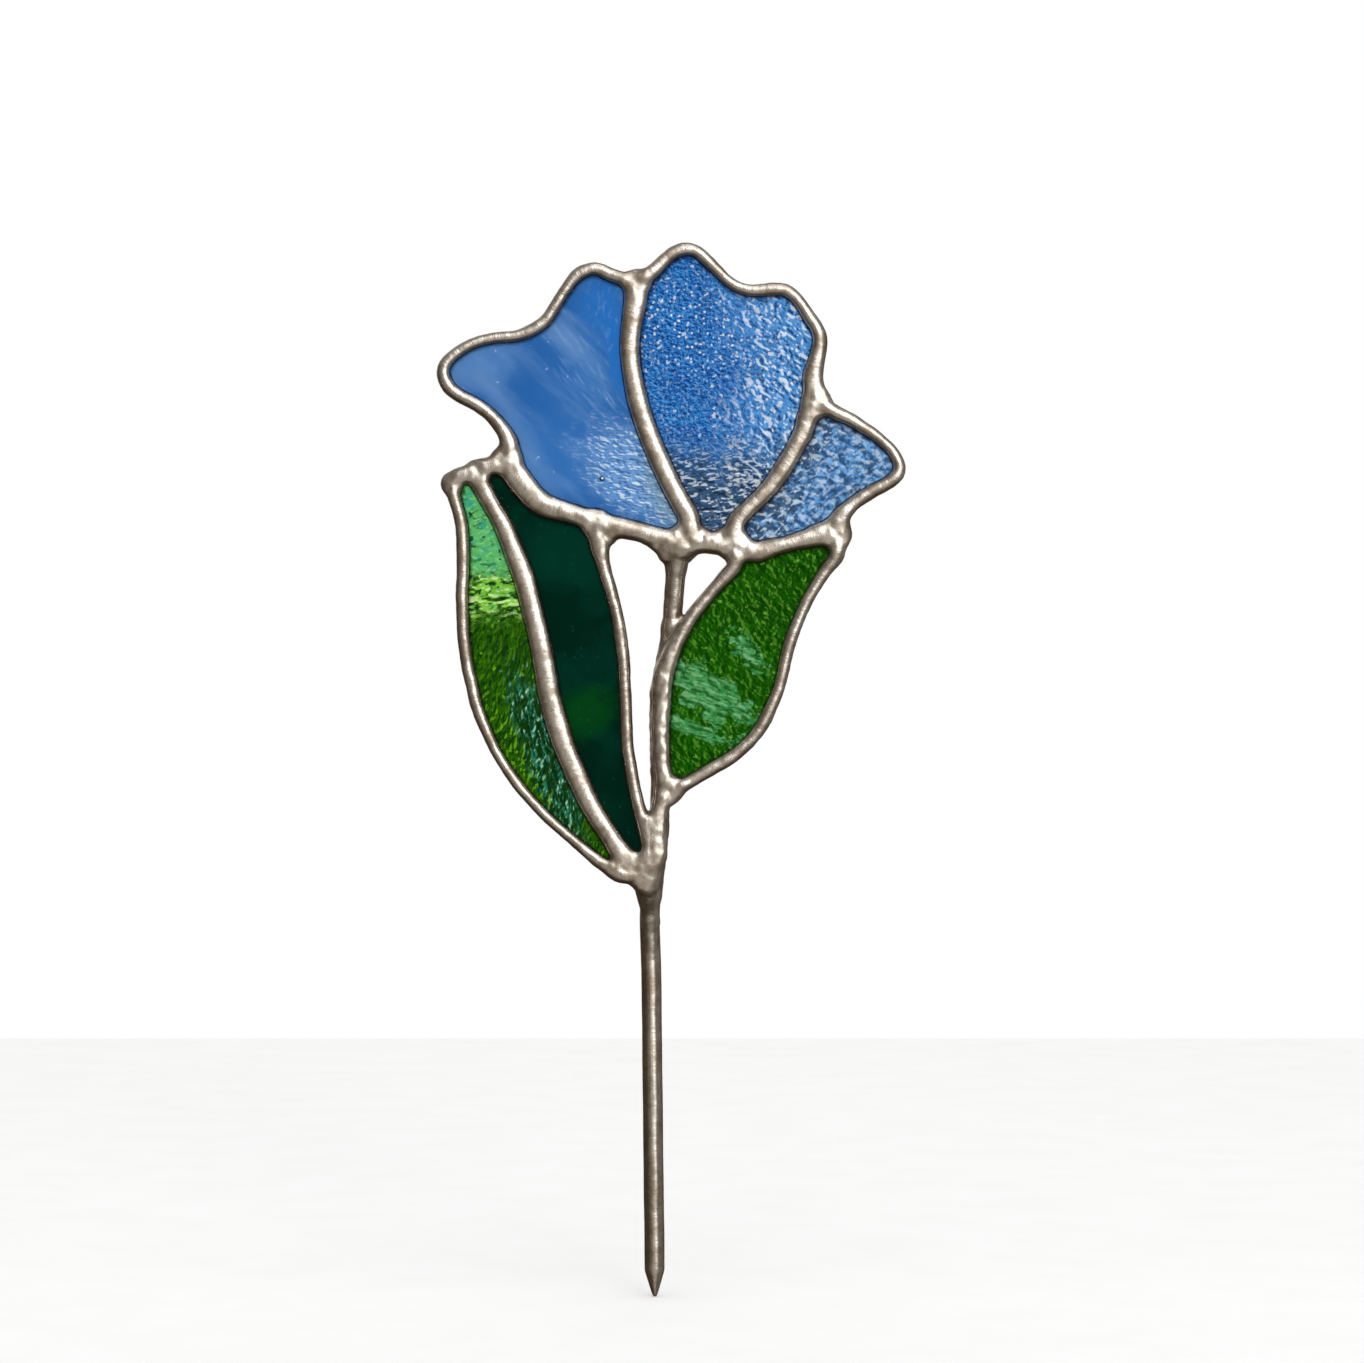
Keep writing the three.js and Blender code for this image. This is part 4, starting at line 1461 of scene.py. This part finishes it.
@dataclass(frozen=True)
class GraniteBlue(GlassFinish):
    """Cobalt sheet with a hammered face that coarsens to the right, with painted glints and shade
    on its marks and a painted darkening low down for dark surroundings seen through it.
    """

    body: Colour = (0.004, 0.120, 0.46)
    pale: Colour = (0.018, 0.24, 0.68)
    # pale blue of the veins, of the lighter right side and of the fine painted glints
    vein_and_glint_blue: Colour = (0.15, 0.50, 0.96)
    glint: Colour = (0.86, 0.93, 1.0)
    shade: Colour = (0.003, 0.030, 0.155)
    slate: Colour = (0.032, 0.085, 0.16)
    black: Colour = (0.004, 0.012, 0.032)
    # the flux line and the painted bead shade take this sheet's dark blue
    flux_and_painted_shade: Colour = shade
    coarse_zone: tuple[float, float] = (17.0, 32.0)
    foot_zone: tuple[float, float] = (181.0, 168.0)

    def paint(self, brush: GlassBrush) -> tuple[Socket, Socket]:
        """Lay the fine and the coarse marks and the dark, waved foot.

        Args:
            brush: Brush on the material's tree.

        Returns:
            The sheet's colour and relief.
        """
        desk, point, specks = brush.desk, brush.point, brush.specks
        fine = brush.rolled(0, 0.85, 0.7, 0.0)
        coarse = brush.rolled(-35, 1.9, 1.3, 5.0)
        wave = brush.rolled(12, 2.3, 1.0, 2.0)
        place = desk.split(point)
        drift = desk.times(desk.grain(point, 0.12, 2.0), 14.0)
        right = desk.fade(desk.plus(place[0], drift), *self.coarse_zone)
        sink = desk.times(desk.grain(point, 0.2), 12.0)
        low = desk.fade(desk.plus(place[2], sink), *self.foot_zone)
        left, high = desk.minus(1.0, right), desk.minus(1.0, low)
        dense = desk.plus(0.32, brush.patch(7.5, 194.0, 10.0, 7.0, -20.0, 0.6), clamp=True)
        # Painted light: layers through a Glint mask and the glint-coloured specks are painted
        # glints, layers on the shaded slopes are painted shade, and the slate foot is painted
        # darkness of surroundings seen through the sheet.
        colour = brush.coat(
            self.body,
            (0.60, self.pale, brush.cloud(0.16, 0.42, 0.70)),
            (0.45, self.vein_and_glint_blue, right),
            (0.35, self.shade, brush.cloud(0.3, 0.5, 0.68)),
            (0.85, self.slate, low),
            (0.92, self.shade, fine["Trough"], left, high),
            (0.92, self.shade, coarse["Trough"], right),
            (0.80, self.black, wave["Trough"], low),
            (0.55, self.vein_and_glint_blue, brush.veins(0.85, 0.03), high),
            (0.50, self.vein_and_glint_blue, fine["Glint"], left, high),
            (0.95, self.glint, coarse["Glint"], right),
            (0.85, self.glint, wave["Glint"], low),
            (1.00, self.glint, specks(0.82, 0.40, 0.5, 0.0), dense, high),
            (0.85, self.glint, specks(1.5, 0.27, 0.35, 11.0), high),
            (0.85, self.glint, specks(2.1, 0.36, 0.5, 4.0), right),
            (0.70, self.glint, specks(1.4, 0.36, 0.4, 6.0), low),
        )
        height = desk.plus(desk.times(left, fine["Height"]), desk.times(right, coarse["Height"]))
        return colour, desk.plus(height, desk.times(low, wave["Height"]))


@dataclass(frozen=True)
class HammeredSteelBlue(GlassFinish):
    """Lighter blue sheet with coarse hammer marks and grey pools."""

    body: Colour = (0.085, 0.285, 0.65)
    pale: Colour = (0.19, 0.50, 0.95)
    shade: Colour = (0.020, 0.060, 0.15)
    slate: Colour = (0.055, 0.10, 0.16)
    glint: Colour = (0.84, 0.93, 1.0)
    flux_and_painted_shade: Colour = shade

    def paint(self, brush: GlassBrush) -> tuple[Socket, Socket]:
        """Lay the hammer marks and the grey pools.

        Args:
            brush: Brush on the material's tree.

        Returns:
            The sheet's colour and relief.
        """
        desk = brush.desk
        marks = brush.rolled(-30, 2.5, 2.0, 9.0)
        small = brush.rolled(40, 1.5, 1.3, 14.0)
        top = brush.patch(29.5, 170.0, 8.5, 3.4, 55.0, 0.5, 0.9, 2.0)
        foot = brush.patch(20.5, 156.5, 9.0, 5.0, 35.0, 0.5, 0.9, 2.0)
        grey = desk.sum("MAXIMUM", top, foot)
        # Painted light: the glint layers through the Glint masks are painted glints, and the shade
        # layers on the shaded slopes are painted shade.
        colour = brush.coat(
            desk.blend(brush.cloud(0.35, 0.42, 0.62), self.body, self.pale),
            (0.85, self.slate, grey),
            (0.55, self.shade, brush.specks(2.2, 0.72, 0.9, 3.0)),
            (0.85, self.pale, brush.specks(2.2, 0.46, 0.75, 3.0)),
            (0.80, self.shade, marks["Trough"]),
            (0.75, self.glint, small["Glint"], desk.plus(grey, 0.45, clamp=True)),
            (0.50, self.glint, marks["Glint"]),
            (0.70, self.shade, small["Trough"]),
        )
        return colour, marks["Height"]


@dataclass(frozen=True)
class MeadowGreen(GlassFinish):
    """Sheet that runs from mint through lime to streaky grass green."""

    mint: Colour = (0.140, 0.56, 0.17)
    teal: Colour = (0.05, 0.45, 0.28)
    lime: Colour = (0.27, 0.68, 0.06)
    grass: Colour = (0.022, 0.125, 0.001)
    bottle: Colour = (0.002, 0.030, 0.004)
    spark: Colour = (0.24, 0.58, 0.02)
    sea: Colour = (0.04, 0.34, 0.21)
    mint_glint: Colour = (0.36, 0.85, 0.36)
    lime_glint: Colour = (0.74, 1.0, 0.42)
    sea_glint: Colour = (0.60, 0.98, 0.70)
    band_start: tuple[float, float] = (146.5, 144.0)
    band_end: tuple[float, float] = (139.0, 134.5)
    blot_zone: tuple[float, float] = (146.0, 141.0)

    def paint(self, brush: GlassBrush) -> tuple[Socket, Socket]:
        """Lay the bands of green and their specks from the top down.

        Args:
            brush: Brush on the material's tree.

        Returns:
            The sheet's colour and relief.
        """
        desk, cloud, streaks, specks = brush.desk, brush.cloud, brush.streaks, brush.specks
        stray = desk.minus(desk.grain(brush.point, 0.6, 4.0, 0.6), 0.5)
        height = desk.plus(desk.split(brush.point)[2], desk.times(stray, 9.0))
        blots = brush.rolled(15, 2.3, 1.4, 21.0)
        chips = brush.rolled(80, 1.9, 1.0, 8.0)
        cool = brush.patch(-21.6, 107.5, 18.0, 3.5, -70.0, 0.35, 0.8, 2.0)
        rim = brush.patch(-27.0, 109.0, 15.0, 1.8, -58.0, 0.6, 1.0, 2.0)
        shreds = streaks(-76, 3.0, 0.8, 0.47, 0.58, 6.0)
        # Painted light: the glint colours and the spark through a Glint mask are painted glints;
        # the bottle green on the shaded slopes is painted shade.
        top = brush.coat(
            desk.blend(cloud(0.4, 0.48, 0.62), self.mint, self.teal),
            (0.75, self.grass, streaks(4, 1.6, 0.55, 0.54, 0.62, 4.0)),
            (0.55, self.mint_glint, brush.rolled(30, 1.5, 1.1, 31.0)["Glint"]),
            (0.90, self.bottle, specks(1.9, 0.30, 0.45, 6.0)),
        )
        more_blots = desk.fade(height, *self.blot_zone, 0.35, 1.0)
        band = brush.coat(
            self.lime,
            (0.75, self.mint, cloud(0.7, 0.5, 0.64)),
            (0.80, self.grass, cloud(0.42, 0.48, 0.54, 4.0)),
            (0.95, self.bottle, cloud(0.42, 0.56, 0.61, 4.0), more_blots),
            (0.95, self.bottle, blots["Trough"]),
            (0.92, self.lime_glint, blots["Glint"]),
        )
        low = brush.coat(
            self.grass,
            (0.60, self.bottle, streaks(86, 4.0, 0.9, 0.47, 0.60, 1.0)),
            (0.85, self.bottle, chips["Trough"]),
            (0.20, self.spark, chips["Glint"]),
            (0.70, self.spark, specks(2.0, 0.26, 0.3, 15.0)),
            (0.90, self.bottle, cool),
            (0.62, self.sea, cool, shreds),
            (0.90, self.bottle, cool, chips["Trough"]),
            (0.75, self.sea_glint, cool, shreds, chips["Glint"]),
            (0.65, self.spark, rim, chips["Glint"]),
        )
        colour = desk.blend(desk.fade(height, *self.band_start), top, band)
        colour = desk.blend(desk.fade(height, *self.band_end), colour, low)
        return colour, desk.plus(chips["Height"], blots["Height"])


@dataclass(frozen=True)
class DeepTeal(GlassFinish):
    """Very dark, nearly smooth blue-green sheet."""

    body: Colour = (0.0004, 0.019, 0.0105)
    lift: Colour = (0.0008, 0.043, 0.024)
    moss: Colour = (0.0018, 0.062, 0.008)
    seed: Colour = (0.02, 0.14, 0.07)

    def paint(self, brush: GlassBrush) -> tuple[Socket, Socket]:
        """Lay the dark body, its paler shoulder and the mossy pool.

        Args:
            brush: Brush on the material's tree.

        Returns:
            The sheet's colour and relief.
        """
        colour = brush.coat(
            self.body,
            (0.50, self.lift, brush.cloud(0.12, 0.42, 0.68, 4.0)),
            (0.75, self.lift, brush.patch(-15.0, 150.0, 12.0, 7.0, 0.0, 0.6)),
            (0.85, self.moss, brush.patch(-14.0, 117.5, 6.0, 4.5, 25.0, 0.6, 0.6)),
            (0.16, self.seed, brush.specks(1.6, 0.26, 0.35, 3.0)),
        )
        return colour, brush.desk.grain(brush.point, 0.4, 4.0)


@dataclass(frozen=True)
class GrassGreen(GlassFinish):
    """Bright green sheet with light specks and broad sea-green wisps."""

    body: Colour = (0.010, 0.115, 0.0004)
    deep: Colour = (0.002, 0.040, 0.0002)
    # light green of the specks and of the painted glints
    speck_and_glint_green: Colour = (0.20, 0.50, 0.05)
    sea: Colour = (0.040, 0.27, 0.065)
    sea_light: Colour = (0.11, 0.43, 0.14)
    glint: Colour = (0.38, 0.70, 0.38)

    def paint(self, brush: GlassBrush) -> tuple[Socket, Socket]:
        """Lay the specks, the dark waves and the sea-green wisps.

        Args:
            brush: Brush on the material's tree.

        Returns:
            The sheet's colour and relief.
        """
        desk = brush.desk
        waves = brush.rolled(-14, 2.8, 1.2, 2.0)
        marks = brush.rolled(-50, 1.4, 1.2, 13.0)
        main = brush.patch(11.0, 121.0, 10.0, 4.6, -32.0, 0.12, 1.5, 3.2)
        small = brush.patch(8.5, 113.8, 6.5, 1.5, -24.0, 0.15, 1.3, 2.0)
        fleck = brush.patch(18.5, 129.5, 4.6, 1.7, -50.0, 0.2, 2.2, 1.3)
        sea = desk.sum("MAXIMUM", desk.sum("MAXIMUM", main, small), fleck)
        tint = desk.blend(brush.cloud(0.9, 0.42, 0.62, 4.0), self.sea, self.sea_light)
        # Painted light: layers through a Glint mask are painted glints, and the deep green on the
        # shaded slopes is painted shade.
        colour = brush.coat(
            self.body,
            (0.50, self.deep, brush.cloud(0.45, 0.45, 0.65)),
            (0.75, self.deep, marks["Trough"]),
            (0.40, self.speck_and_glint_green, marks["Glint"]),
            (0.85, self.speck_and_glint_green, brush.specks(1.7, 0.27, 0.4, 7.0)),
            (0.92, tint, sea),
            (0.70, self.deep, waves["Trough"], desk.plus(sea, 0.3, clamp=True)),
            (0.45, self.glint, waves["Glint"], sea),
        )
        return colour, desk.plus(waves["Height"], desk.times(marks["Height"], 0.6))


# ---------------------------------------------------------------------------- glass panes


class Face(Enum):
    """How the rollers marked a sheet of glass."""

    WISPY = "wispy"
    GRANITE = "granite"
    HAMMERED = "hammered"
    STREAKY = "streaky"
    SMOOTH = "smooth"
    WAVY = "wavy"


def face_relief(face: Face, x: float, z: float, seed: float) -> float:
    """Height of a rolled face over its mean, in millimetres.

    Args:
        face: How the sheet was rolled.
        x: Place along X.
        z: Place along Z.
        seed: Keeps the two sides of a sheet apart.

    Returns:
        The height.
    """
    slow = noise.noise(Vector((x * 0.12, z * 0.12, seed))) * 0.05
    if face is Face.SMOOTH:
        return slow * 0.8
    if face is Face.WISPY:
        wet = 1.0 / (1.0 + math.exp(-(x * 0.55 - z * 0.5 + 87.0) * 0.6))
        ripple = noise.noise(Vector((x * 0.45 + z * 0.12, z * 1.25, seed)))
        return slow + ripple * (0.015 + 0.13 * wet)
    if face is Face.STREAKY:
        return slow + noise.noise(Vector((x * 0.9, z * 0.4, seed))) * 0.13
    if face is Face.WAVY:
        wave = noise.noise(Vector((x * 0.35, z * 0.95, seed)))
        return slow + wave * 0.1 + noise.noise(Vector((x * 0.9, z * 0.9, seed))) * 0.06
    size, depth = (1.9, 0.34) if face is Face.HAMMERED else (1.25, 0.22)
    cells, _ = noise.voronoi(Vector((x / size, z / size, seed)))
    return slow + (min(cells[0], 0.8) ** 2 - 0.25) * depth


@dataclass
class GlassPane:
    """One pane of sheet glass with the foil strip folded round its edge."""

    place: str
    seed: tuple[float, float]
    face: Face
    finish: GlassFinish
    spacing: float = 0.42
    rim_spacing: float = 1.3  # this and the inset are shares of the spacing
    inset: float = 0.7
    tuck: float = 1.05
    foil_show: float = 0.16
    foil_thick: float = 0.06
    skin_gap: float = 0.005
    steady_rim: float = 1.2
    # Each face's way along Y and the seed of its relief.
    sides: tuple[tuple[int, float], ...] = ((-1, 3.0), (1, 21.0))

    def window(self, rings: Sequence[np.ndarray]) -> np.ndarray:
        """The solder's edge round this pane: the smallest ring that holds its seed."""
        seed = np.array([self.seed])
        return min((r for r in rings if ring_holds(r, seed)[0]), key=ring_area)

    def cut(self, window: np.ndarray) -> tuple[np.ndarray, list, np.ndarray]:
        """Cut the pane to reach under the solder all round.

        Args:
            window: The ring of glass that shows.

        Returns:
            Corners and faces of the pane, and how far each corner lies inside the solder's
            edge, with the way that edge faces along X and Z.
        """
        out = ring_normals(window)
        rim = even_ring(window + out * self.tuck, self.spacing * self.rim_spacing)
        low, high = rim.min(0), rim.max(0)
        row = self.spacing * math.sqrt(0.75)
        dots = np.array([
            (x + (k % 2) * self.spacing / 2, z)
            for k, z in enumerate(np.arange(low[1], high[1], row))
            for x in np.arange(low[0], high[0], self.spacing)
        ])
        inner = rim - ring_normals(rim) * self.spacing * self.inset
        dots = dots[ring_holds(inner, dots)]
        count = len(rim)
        points = [Vector(p) for p in np.vstack([rim, dots])]
        edges = [(i, (i + 1) % count) for i in range(count)]
        flat, _, tris, *_ = delaunay_2d_cdt(points, edges, [], 1, 1e-5)
        plan = np.array([tuple(p) for p in flat])
        rim_view = self._rim_view(plan, window)
        steady = ease(rim_view[:, 0], 0.0, self.steady_rim)
        sides = []
        for side, seed in self.sides:
            lift = [face_relief(self.face, x, z, seed) * s for (x, z), s in zip(plan, steady)]
            y = PANE_MIDDLE + side * (GLASS_HALF + np.array(lift))
            sides.append(np.column_stack([plan[:, 0], y, plan[:, 1]]))
        n = len(plan)
        faces = [tuple(t) for t in tris] + [tuple(i + n for i in reversed(t)) for t in tris]
        faces += [(i, i + n, (i + 1) % count + n, (i + 1) % count) for i in range(count)]
        return np.vstack(sides), faces, np.vstack([rim_view, rim_view])

    def _rim_view(self, plan: np.ndarray, window: np.ndarray) -> np.ndarray:
        """Distance inside the solder's edge, and the way the nearest edge faces.

        Args:
            plan: Points of the pane as x and z.
            window: The ring of glass that shows.

        Returns:
            Rows of distance and of the edge's normal along X and Z.
        """
        closed = np.vstack([window, window[:1]])
        got = reach_of_line(plan, closed, np.zeros(len(closed)))
        gap = np.where(ring_holds(window, plan), got["edge"], -got["edge"])
        length = float(np.hypot(*np.diff(closed, axis=0).T).sum())
        near = (got["along"] / length * len(window)).astype(int) % len(window)
        return np.column_stack([gap, ring_normals(window)[near]])

    def fold_foil(self, window: np.ndarray) -> tuple[np.ndarray, list]:
        """Fold the foil strip round the pane's edge.

        Args:
            window: The ring of glass that shows.

        Returns:
            Corners and faces of the strip.
        """
        out = ring_normals(window)
        ragged = np.array([
            noise.noise(Vector((x * 0.9, z * 0.9, 2.0))) * 0.6
            + noise.noise(Vector((x * 3, z * 3, 5.0))) * 0.4
            for x, z in window
        ])
        show = self.foil_show * (1 + 0.7 * ragged)
        reach, thick = self.tuck + 0.03, self.foil_thick
        skin = GLASS_HALF + self.skin_gap
        loop = (
            (None, skin), (None, skin + thick), (reach + thick, skin + thick),
            (reach + thick, -skin - thick), (None, -skin - thick), (None, -skin),
            (reach, -skin), (reach, skin),
        )
        rows = []
        for off, depth in loop:
            away = -show if off is None else np.full(len(window), off)
            spot = window + out * away[:, None]
            rows.append(np.insert(spot, 1, PANE_MIDDLE - depth, axis=1))
        n, m = len(window), len(loop)
        faces = [
            (j * n + i, ((j + 1) % m) * n + i, ((j + 1) % m) * n + (i + 1) % n, j * n + (i + 1) % n)
            for j in range(m) for i in range(n)
        ]
        return np.vstack(rows), faces

    def build(
        self, rings: Sequence[np.ndarray], effects: SharedEffects, foil: bpy.types.Material
    ) -> None:
        """Make the pane and its foil.

        Args:
            rings: The solder's edges.
            effects: The shared node groups.
            foil: Material of the foil.
        """
        window = self.window(rings)
        corners, faces, rim = self.cut(window)
        glass, tape = f"glass_{self.place}", f"foil_{self.place}"
        finish = self.finish.make(effects)
        pane = make_piece(f"{glass}_sheet", corners, faces, finish, {"rim_view": rim})
        stand_in(pane, glass)
        strip = make_piece(f"{tape}_strip", *self.fold_foil(window), foil)
        strip.data.polygons.foreach_set("use_smooth", [False] * len(strip.data.polygons))
        stand_in(strip, tape)


@dataclass
class StakeRod:
    """The tinned wire that carries the flower, with its ground point."""

    radius: float = 2.02
    point_length: float = 5.3
    tip_radius: float = 0.36
    sides: int = 56
    step: float = 0.5
    top: float = 151.2
    neck_zone: tuple[float, float] = (78.5, 81.0)
    neck_depth: float = 0.5
    tip_heights: tuple[float, ...] = (0.0, 0.04, 0.1, 0.18, 0.3)

    def girth(self, z: float) -> float:
        """Radius of the rod at a height, its point included; slimmer inside the solder.

        Args:
            z: Height over the tip.

        Returns:
            The radius.
        """
        if z >= self.point_length:
            return self.radius - self.neck_depth * float(ease(np.array(z), *self.neck_zone))
        share = z / self.point_length
        cone = self.tip_radius + (self.radius - self.tip_radius) * share**0.93
        return cone * min(1.0, math.sqrt(max(0.0, 1 - (1 - min(z / 0.3, 1.0)) ** 2)) + 0.02)

    def build(self, finish: bpy.types.Material) -> None:
        """Make the rod.

        Args:
            finish: Material of the tinned wire.
        """
        line = follow(((-0.05, 0.0), *ROD_AXIS), 0.05)
        heights = [*self.tip_heights, *np.arange(0.5, self.top, self.step)]
        rows, flow = [], []
        for z in heights:
            x, girth = float(np.interp(z, line[:, 1], line[:, 0])), self.girth(z)
            for k in range(self.sides):
                turn = 2 * math.pi * k / self.sides
                away = Vector((math.sin(turn), -math.cos(turn), 0.0))
                spot = Vector((away.x * 2.0, away.y * 2.0, z))
                dent = noise.noise(spot * Vector((0.5, 0.5, 0.12))) * 0.06
                dent += noise.noise(Vector((turn * 1.2, 3.0, z * 0.9))) * 0.018
                if 0.3 < z < self.point_length:
                    dent += math.cos(turn * 5 + 0.6) * 0.05 * (1 - z / self.point_length)
                out = girth + dent * min(1.0, girth / self.radius)
                rows.append((x + away.x * out, away.y * out, z))
                flow.append((z, turn * self.radius, 0.0))
        n = self.sides
        faces = [
            (j * n + i, j * n + (i + 1) % n, (j + 1) * n + (i + 1) % n, (j + 1) * n + i)
            for j in range(len(heights) - 1) for i in range(n)
        ]
        faces += [tuple(range(n - 1, -1, -1)), tuple(range(len(rows) - n, len(rows)))]
        vectors = {"bead_flow": np.array(flow)}
        rod = make_piece("tinned_stake", np.array(rows), faces, finish, vectors)
        stand_in(rod, "stake_rod")


# ---------------------------------------------------------------------------- studio


@dataclass(frozen=True)
class Softbox:
    """One soft studio light that looks at the flower; its place and size are in metres."""

    name: str
    place: tuple[float, float, float]
    size: tuple[float, float]
    power: float
    tint: Colour = (1.0, 1.0, 1.0)

    def light(self, target: Vector) -> None:
        """Hang the light.

        Args:
            target: The spot that it points at, in metres.
        """
        lamp = bpy.data.lights.new(self.name, "AREA")
        lamp.shape = "RECTANGLE"
        lamp.size, lamp.size_y = self.size
        lamp.energy = self.power
        lamp.color = self.tint
        holder = bpy.data.objects.new(self.name, lamp)
        holder.location = self.place
        holder.rotation_euler = (target - Vector(self.place)).to_track_quat("-Z", "Y").to_euler()
        bpy.context.scene.collection.objects.link(holder)


@dataclass(frozen=True)
class Glow:
    """A patch of light in the room round the flower, which its metal mirrors."""

    way: tuple[float, float, float]
    faint: float
    full: float
    tint: Colour
    share: float = 1.0


@dataclass
class Studio:
    """Pale floor, soft lights, bright backdrop and the camera."""

    lens: float = 100.0
    sensor: float = 36.0
    frame_width: float = 272.8
    aim: tuple[float, float] = (5.4, 123.6)
    look_at: tuple[float, float, float] = (3.0, 0.0, 140.0)
    floor_reach: float = 550.0
    room: Colour = (0.055, 0.040, 0.026)
    glows: tuple[Glow, ...] = (
        Glow((0.0, 1.0, 0.0), -0.35, -1.0, (0.20, 0.165, 0.128)),
        Glow((0.0, 0.0, 1.0), 0.1, 0.9, (0.45, 0.43, 0.40), 0.45),
        Glow((1.0, 0.0, 0.0), 0.2, 0.95, (0.42, 0.39, 0.35), 0.30),
        Glow((0.0, 1.0, 0.0), 0.6, 1.0, (0.17, 0.14, 0.11)),
        Glow((-0.30, 0.88, 0.36), 0.87, 0.975, (1.10, 1.05, 0.98)),
        Glow((0.12, -0.92, -0.37), 0.78, 0.98, (0.38, 0.335, 0.28)),
        Glow((0.38, -0.89, 0.23), 0.875, 0.985, (1.85, 1.78, 1.68)),
        Glow((0.20, -0.80, 0.56), 0.87, 0.98, (1.75, 1.68, 1.58)),
    )
    boxes: tuple[Softbox, ...] = (
        Softbox("key_softbox", (0.36, -1.0, 0.55), (0.30, 0.30), 1.3, (1.0, 0.985, 0.96)),
        Softbox("top_softbox", (0.15, -0.25, 1.05), (0.5, 0.4), 0.6),
    )

    def build(self) -> None:
        """Set up the whole studio."""
        self._camera()
        self._floor()
        self._backdrop()
        for box in self.boxes:
            box.light(Vector(self.look_at) * MM)
        bpy.context.scene.view_settings.view_transform = "Standard"

    def _camera(self) -> None:
        """Place the camera square on to the flower."""
        lens = bpy.data.cameras.new("camera")
        lens.lens, lens.sensor_width = self.lens, self.sensor
        camera = bpy.data.objects.new("camera", lens)
        away = self.frame_width * self.lens / self.sensor
        camera.location = (self.aim[0] * MM, (PANE_MIDDLE - away) * MM, self.aim[1] * MM)
        camera.rotation_euler = (math.radians(90.0), 0.0, 0.0)
        bpy.context.scene.collection.objects.link(camera)
        bpy.context.scene.camera = camera

    def _floor(self) -> None:
        """Lay a plain pale floor under the point."""
        r = self.floor_reach
        corners = np.array([(-r, -r, 0.0), (r, -r, 0.0), (r, r, 0.0), (-r, r, 0.0)])
        material, desk, shader, point = start_material("pale_floor")
        tone = desk.fade(desk.grain(point, 0.05, 4.0), 0.3, 0.7)
        colour = desk.blend(tone, (0.93, 0.93, 0.925), (0.95, 0.95, 0.95))
        rough = desk.fade(desk.grain(point, 0.4, 3.0), 0.3, 0.7, 0.75, 0.9)
        wire(desk, shader, colour, rough, desk.grain(point, 1.0), 0.1, 0.02)
        floor = make_piece("floor", corners, [(0, 1, 2, 3)], material)
        floor.visible_glossy = False

    def _backdrop(self) -> None:
        """Make the world white, but a warm, dim room where metal mirrors it."""
        world = bpy.data.worlds.new("studio")
        bpy.context.scene.world = world
        world.use_nodes = True
        desk = Desk(world.node_tree)
        way = desk.add("ShaderNodeTexCoord").outputs["Generated"]
        room = self.room
        for glow in self.glows:
            facing = desk.add(
                "ShaderNodeVectorMath", {0: way, 1: glow.way}, operation="DOT_PRODUCT"
            ).outputs["Value"]
            share = desk.fade(facing, glow.faint, glow.full, 0.0, glow.share)
            room = desk.blend(share, room, glow.tint)
        rays = desk.add("ShaderNodeLightPath").outputs
        mirror = desk.minus(rays["Is Glossy Ray"], rays["Is Transmission Ray"], clamp=True)
        colour = desk.blend(mirror, (1.0, 1.0, 1.0), room)
        desk.feed(world.node_tree.nodes["Background"].inputs["Color"], colour)


# ---------------------------------------------------------------------------- the flower


PANES = (
    GlassPane("petal_left", (-20.0, 180.0), Face.WISPY, WispyBlue("wispy_blue_glass", relief=0.3)),
    GlassPane("petal_middle", (12.0, 185.0), Face.GRANITE,
              GraniteBlue("granite_blue_glass", strength=0.8, relief=0.35)),
    GlassPane("petal_right", (38.0, 166.0), Face.HAMMERED,
              HammeredSteelBlue("hammered_steel_blue_glass", strength=0.8, relief=0.4)),
    GlassPane("leaf_left_outer", (-31.0, 130.0), Face.STREAKY,
              MeadowGreen("meadow_green_glass", gloss=0.01, bend=1.15, strength=0.8, relief=0.35)),
    GlassPane("leaf_left_inner", (-15.0, 130.0), Face.SMOOTH,
              DeepTeal("deep_teal_glass", gloss=0.01, bend=1.1, clear=0.3, strength=0.3,
                       relief=0.15)),
    GlassPane("leaf_right", (15.0, 130.0), Face.WAVY,
              GrassGreen("grass_green_glass", gloss=0.01, bend=1.15, strength=0.8, relief=0.35)),
)
SOLDER = TinnedMetal("hand_run_solder")
WIRE = TinnedMetal(
    "tinned_wire", rough_low=0.13, rough_high=0.26, ripple=0.9, relief=0.06, side_start=0.85,
    side_end=0.3, brown=(0.40, 0.29, 0.17),
)


def main() -> None:
    """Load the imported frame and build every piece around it."""
    logging.basicConfig(level=logging.INFO, format="%(name)s %(message)s")
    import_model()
    Studio().build()
    effects = SharedEffects()
    solder = SolderNetwork()
    solder.build(SOLDER.make(effects))
    StakeRod().build(WIRE.make(effects))
    rings = solder.windows()
    foil = DarkFoil().make()
    for pane in PANES:
        pane.build(rings, effects, foil)
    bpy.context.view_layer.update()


if __name__ == "__main__":
    main()
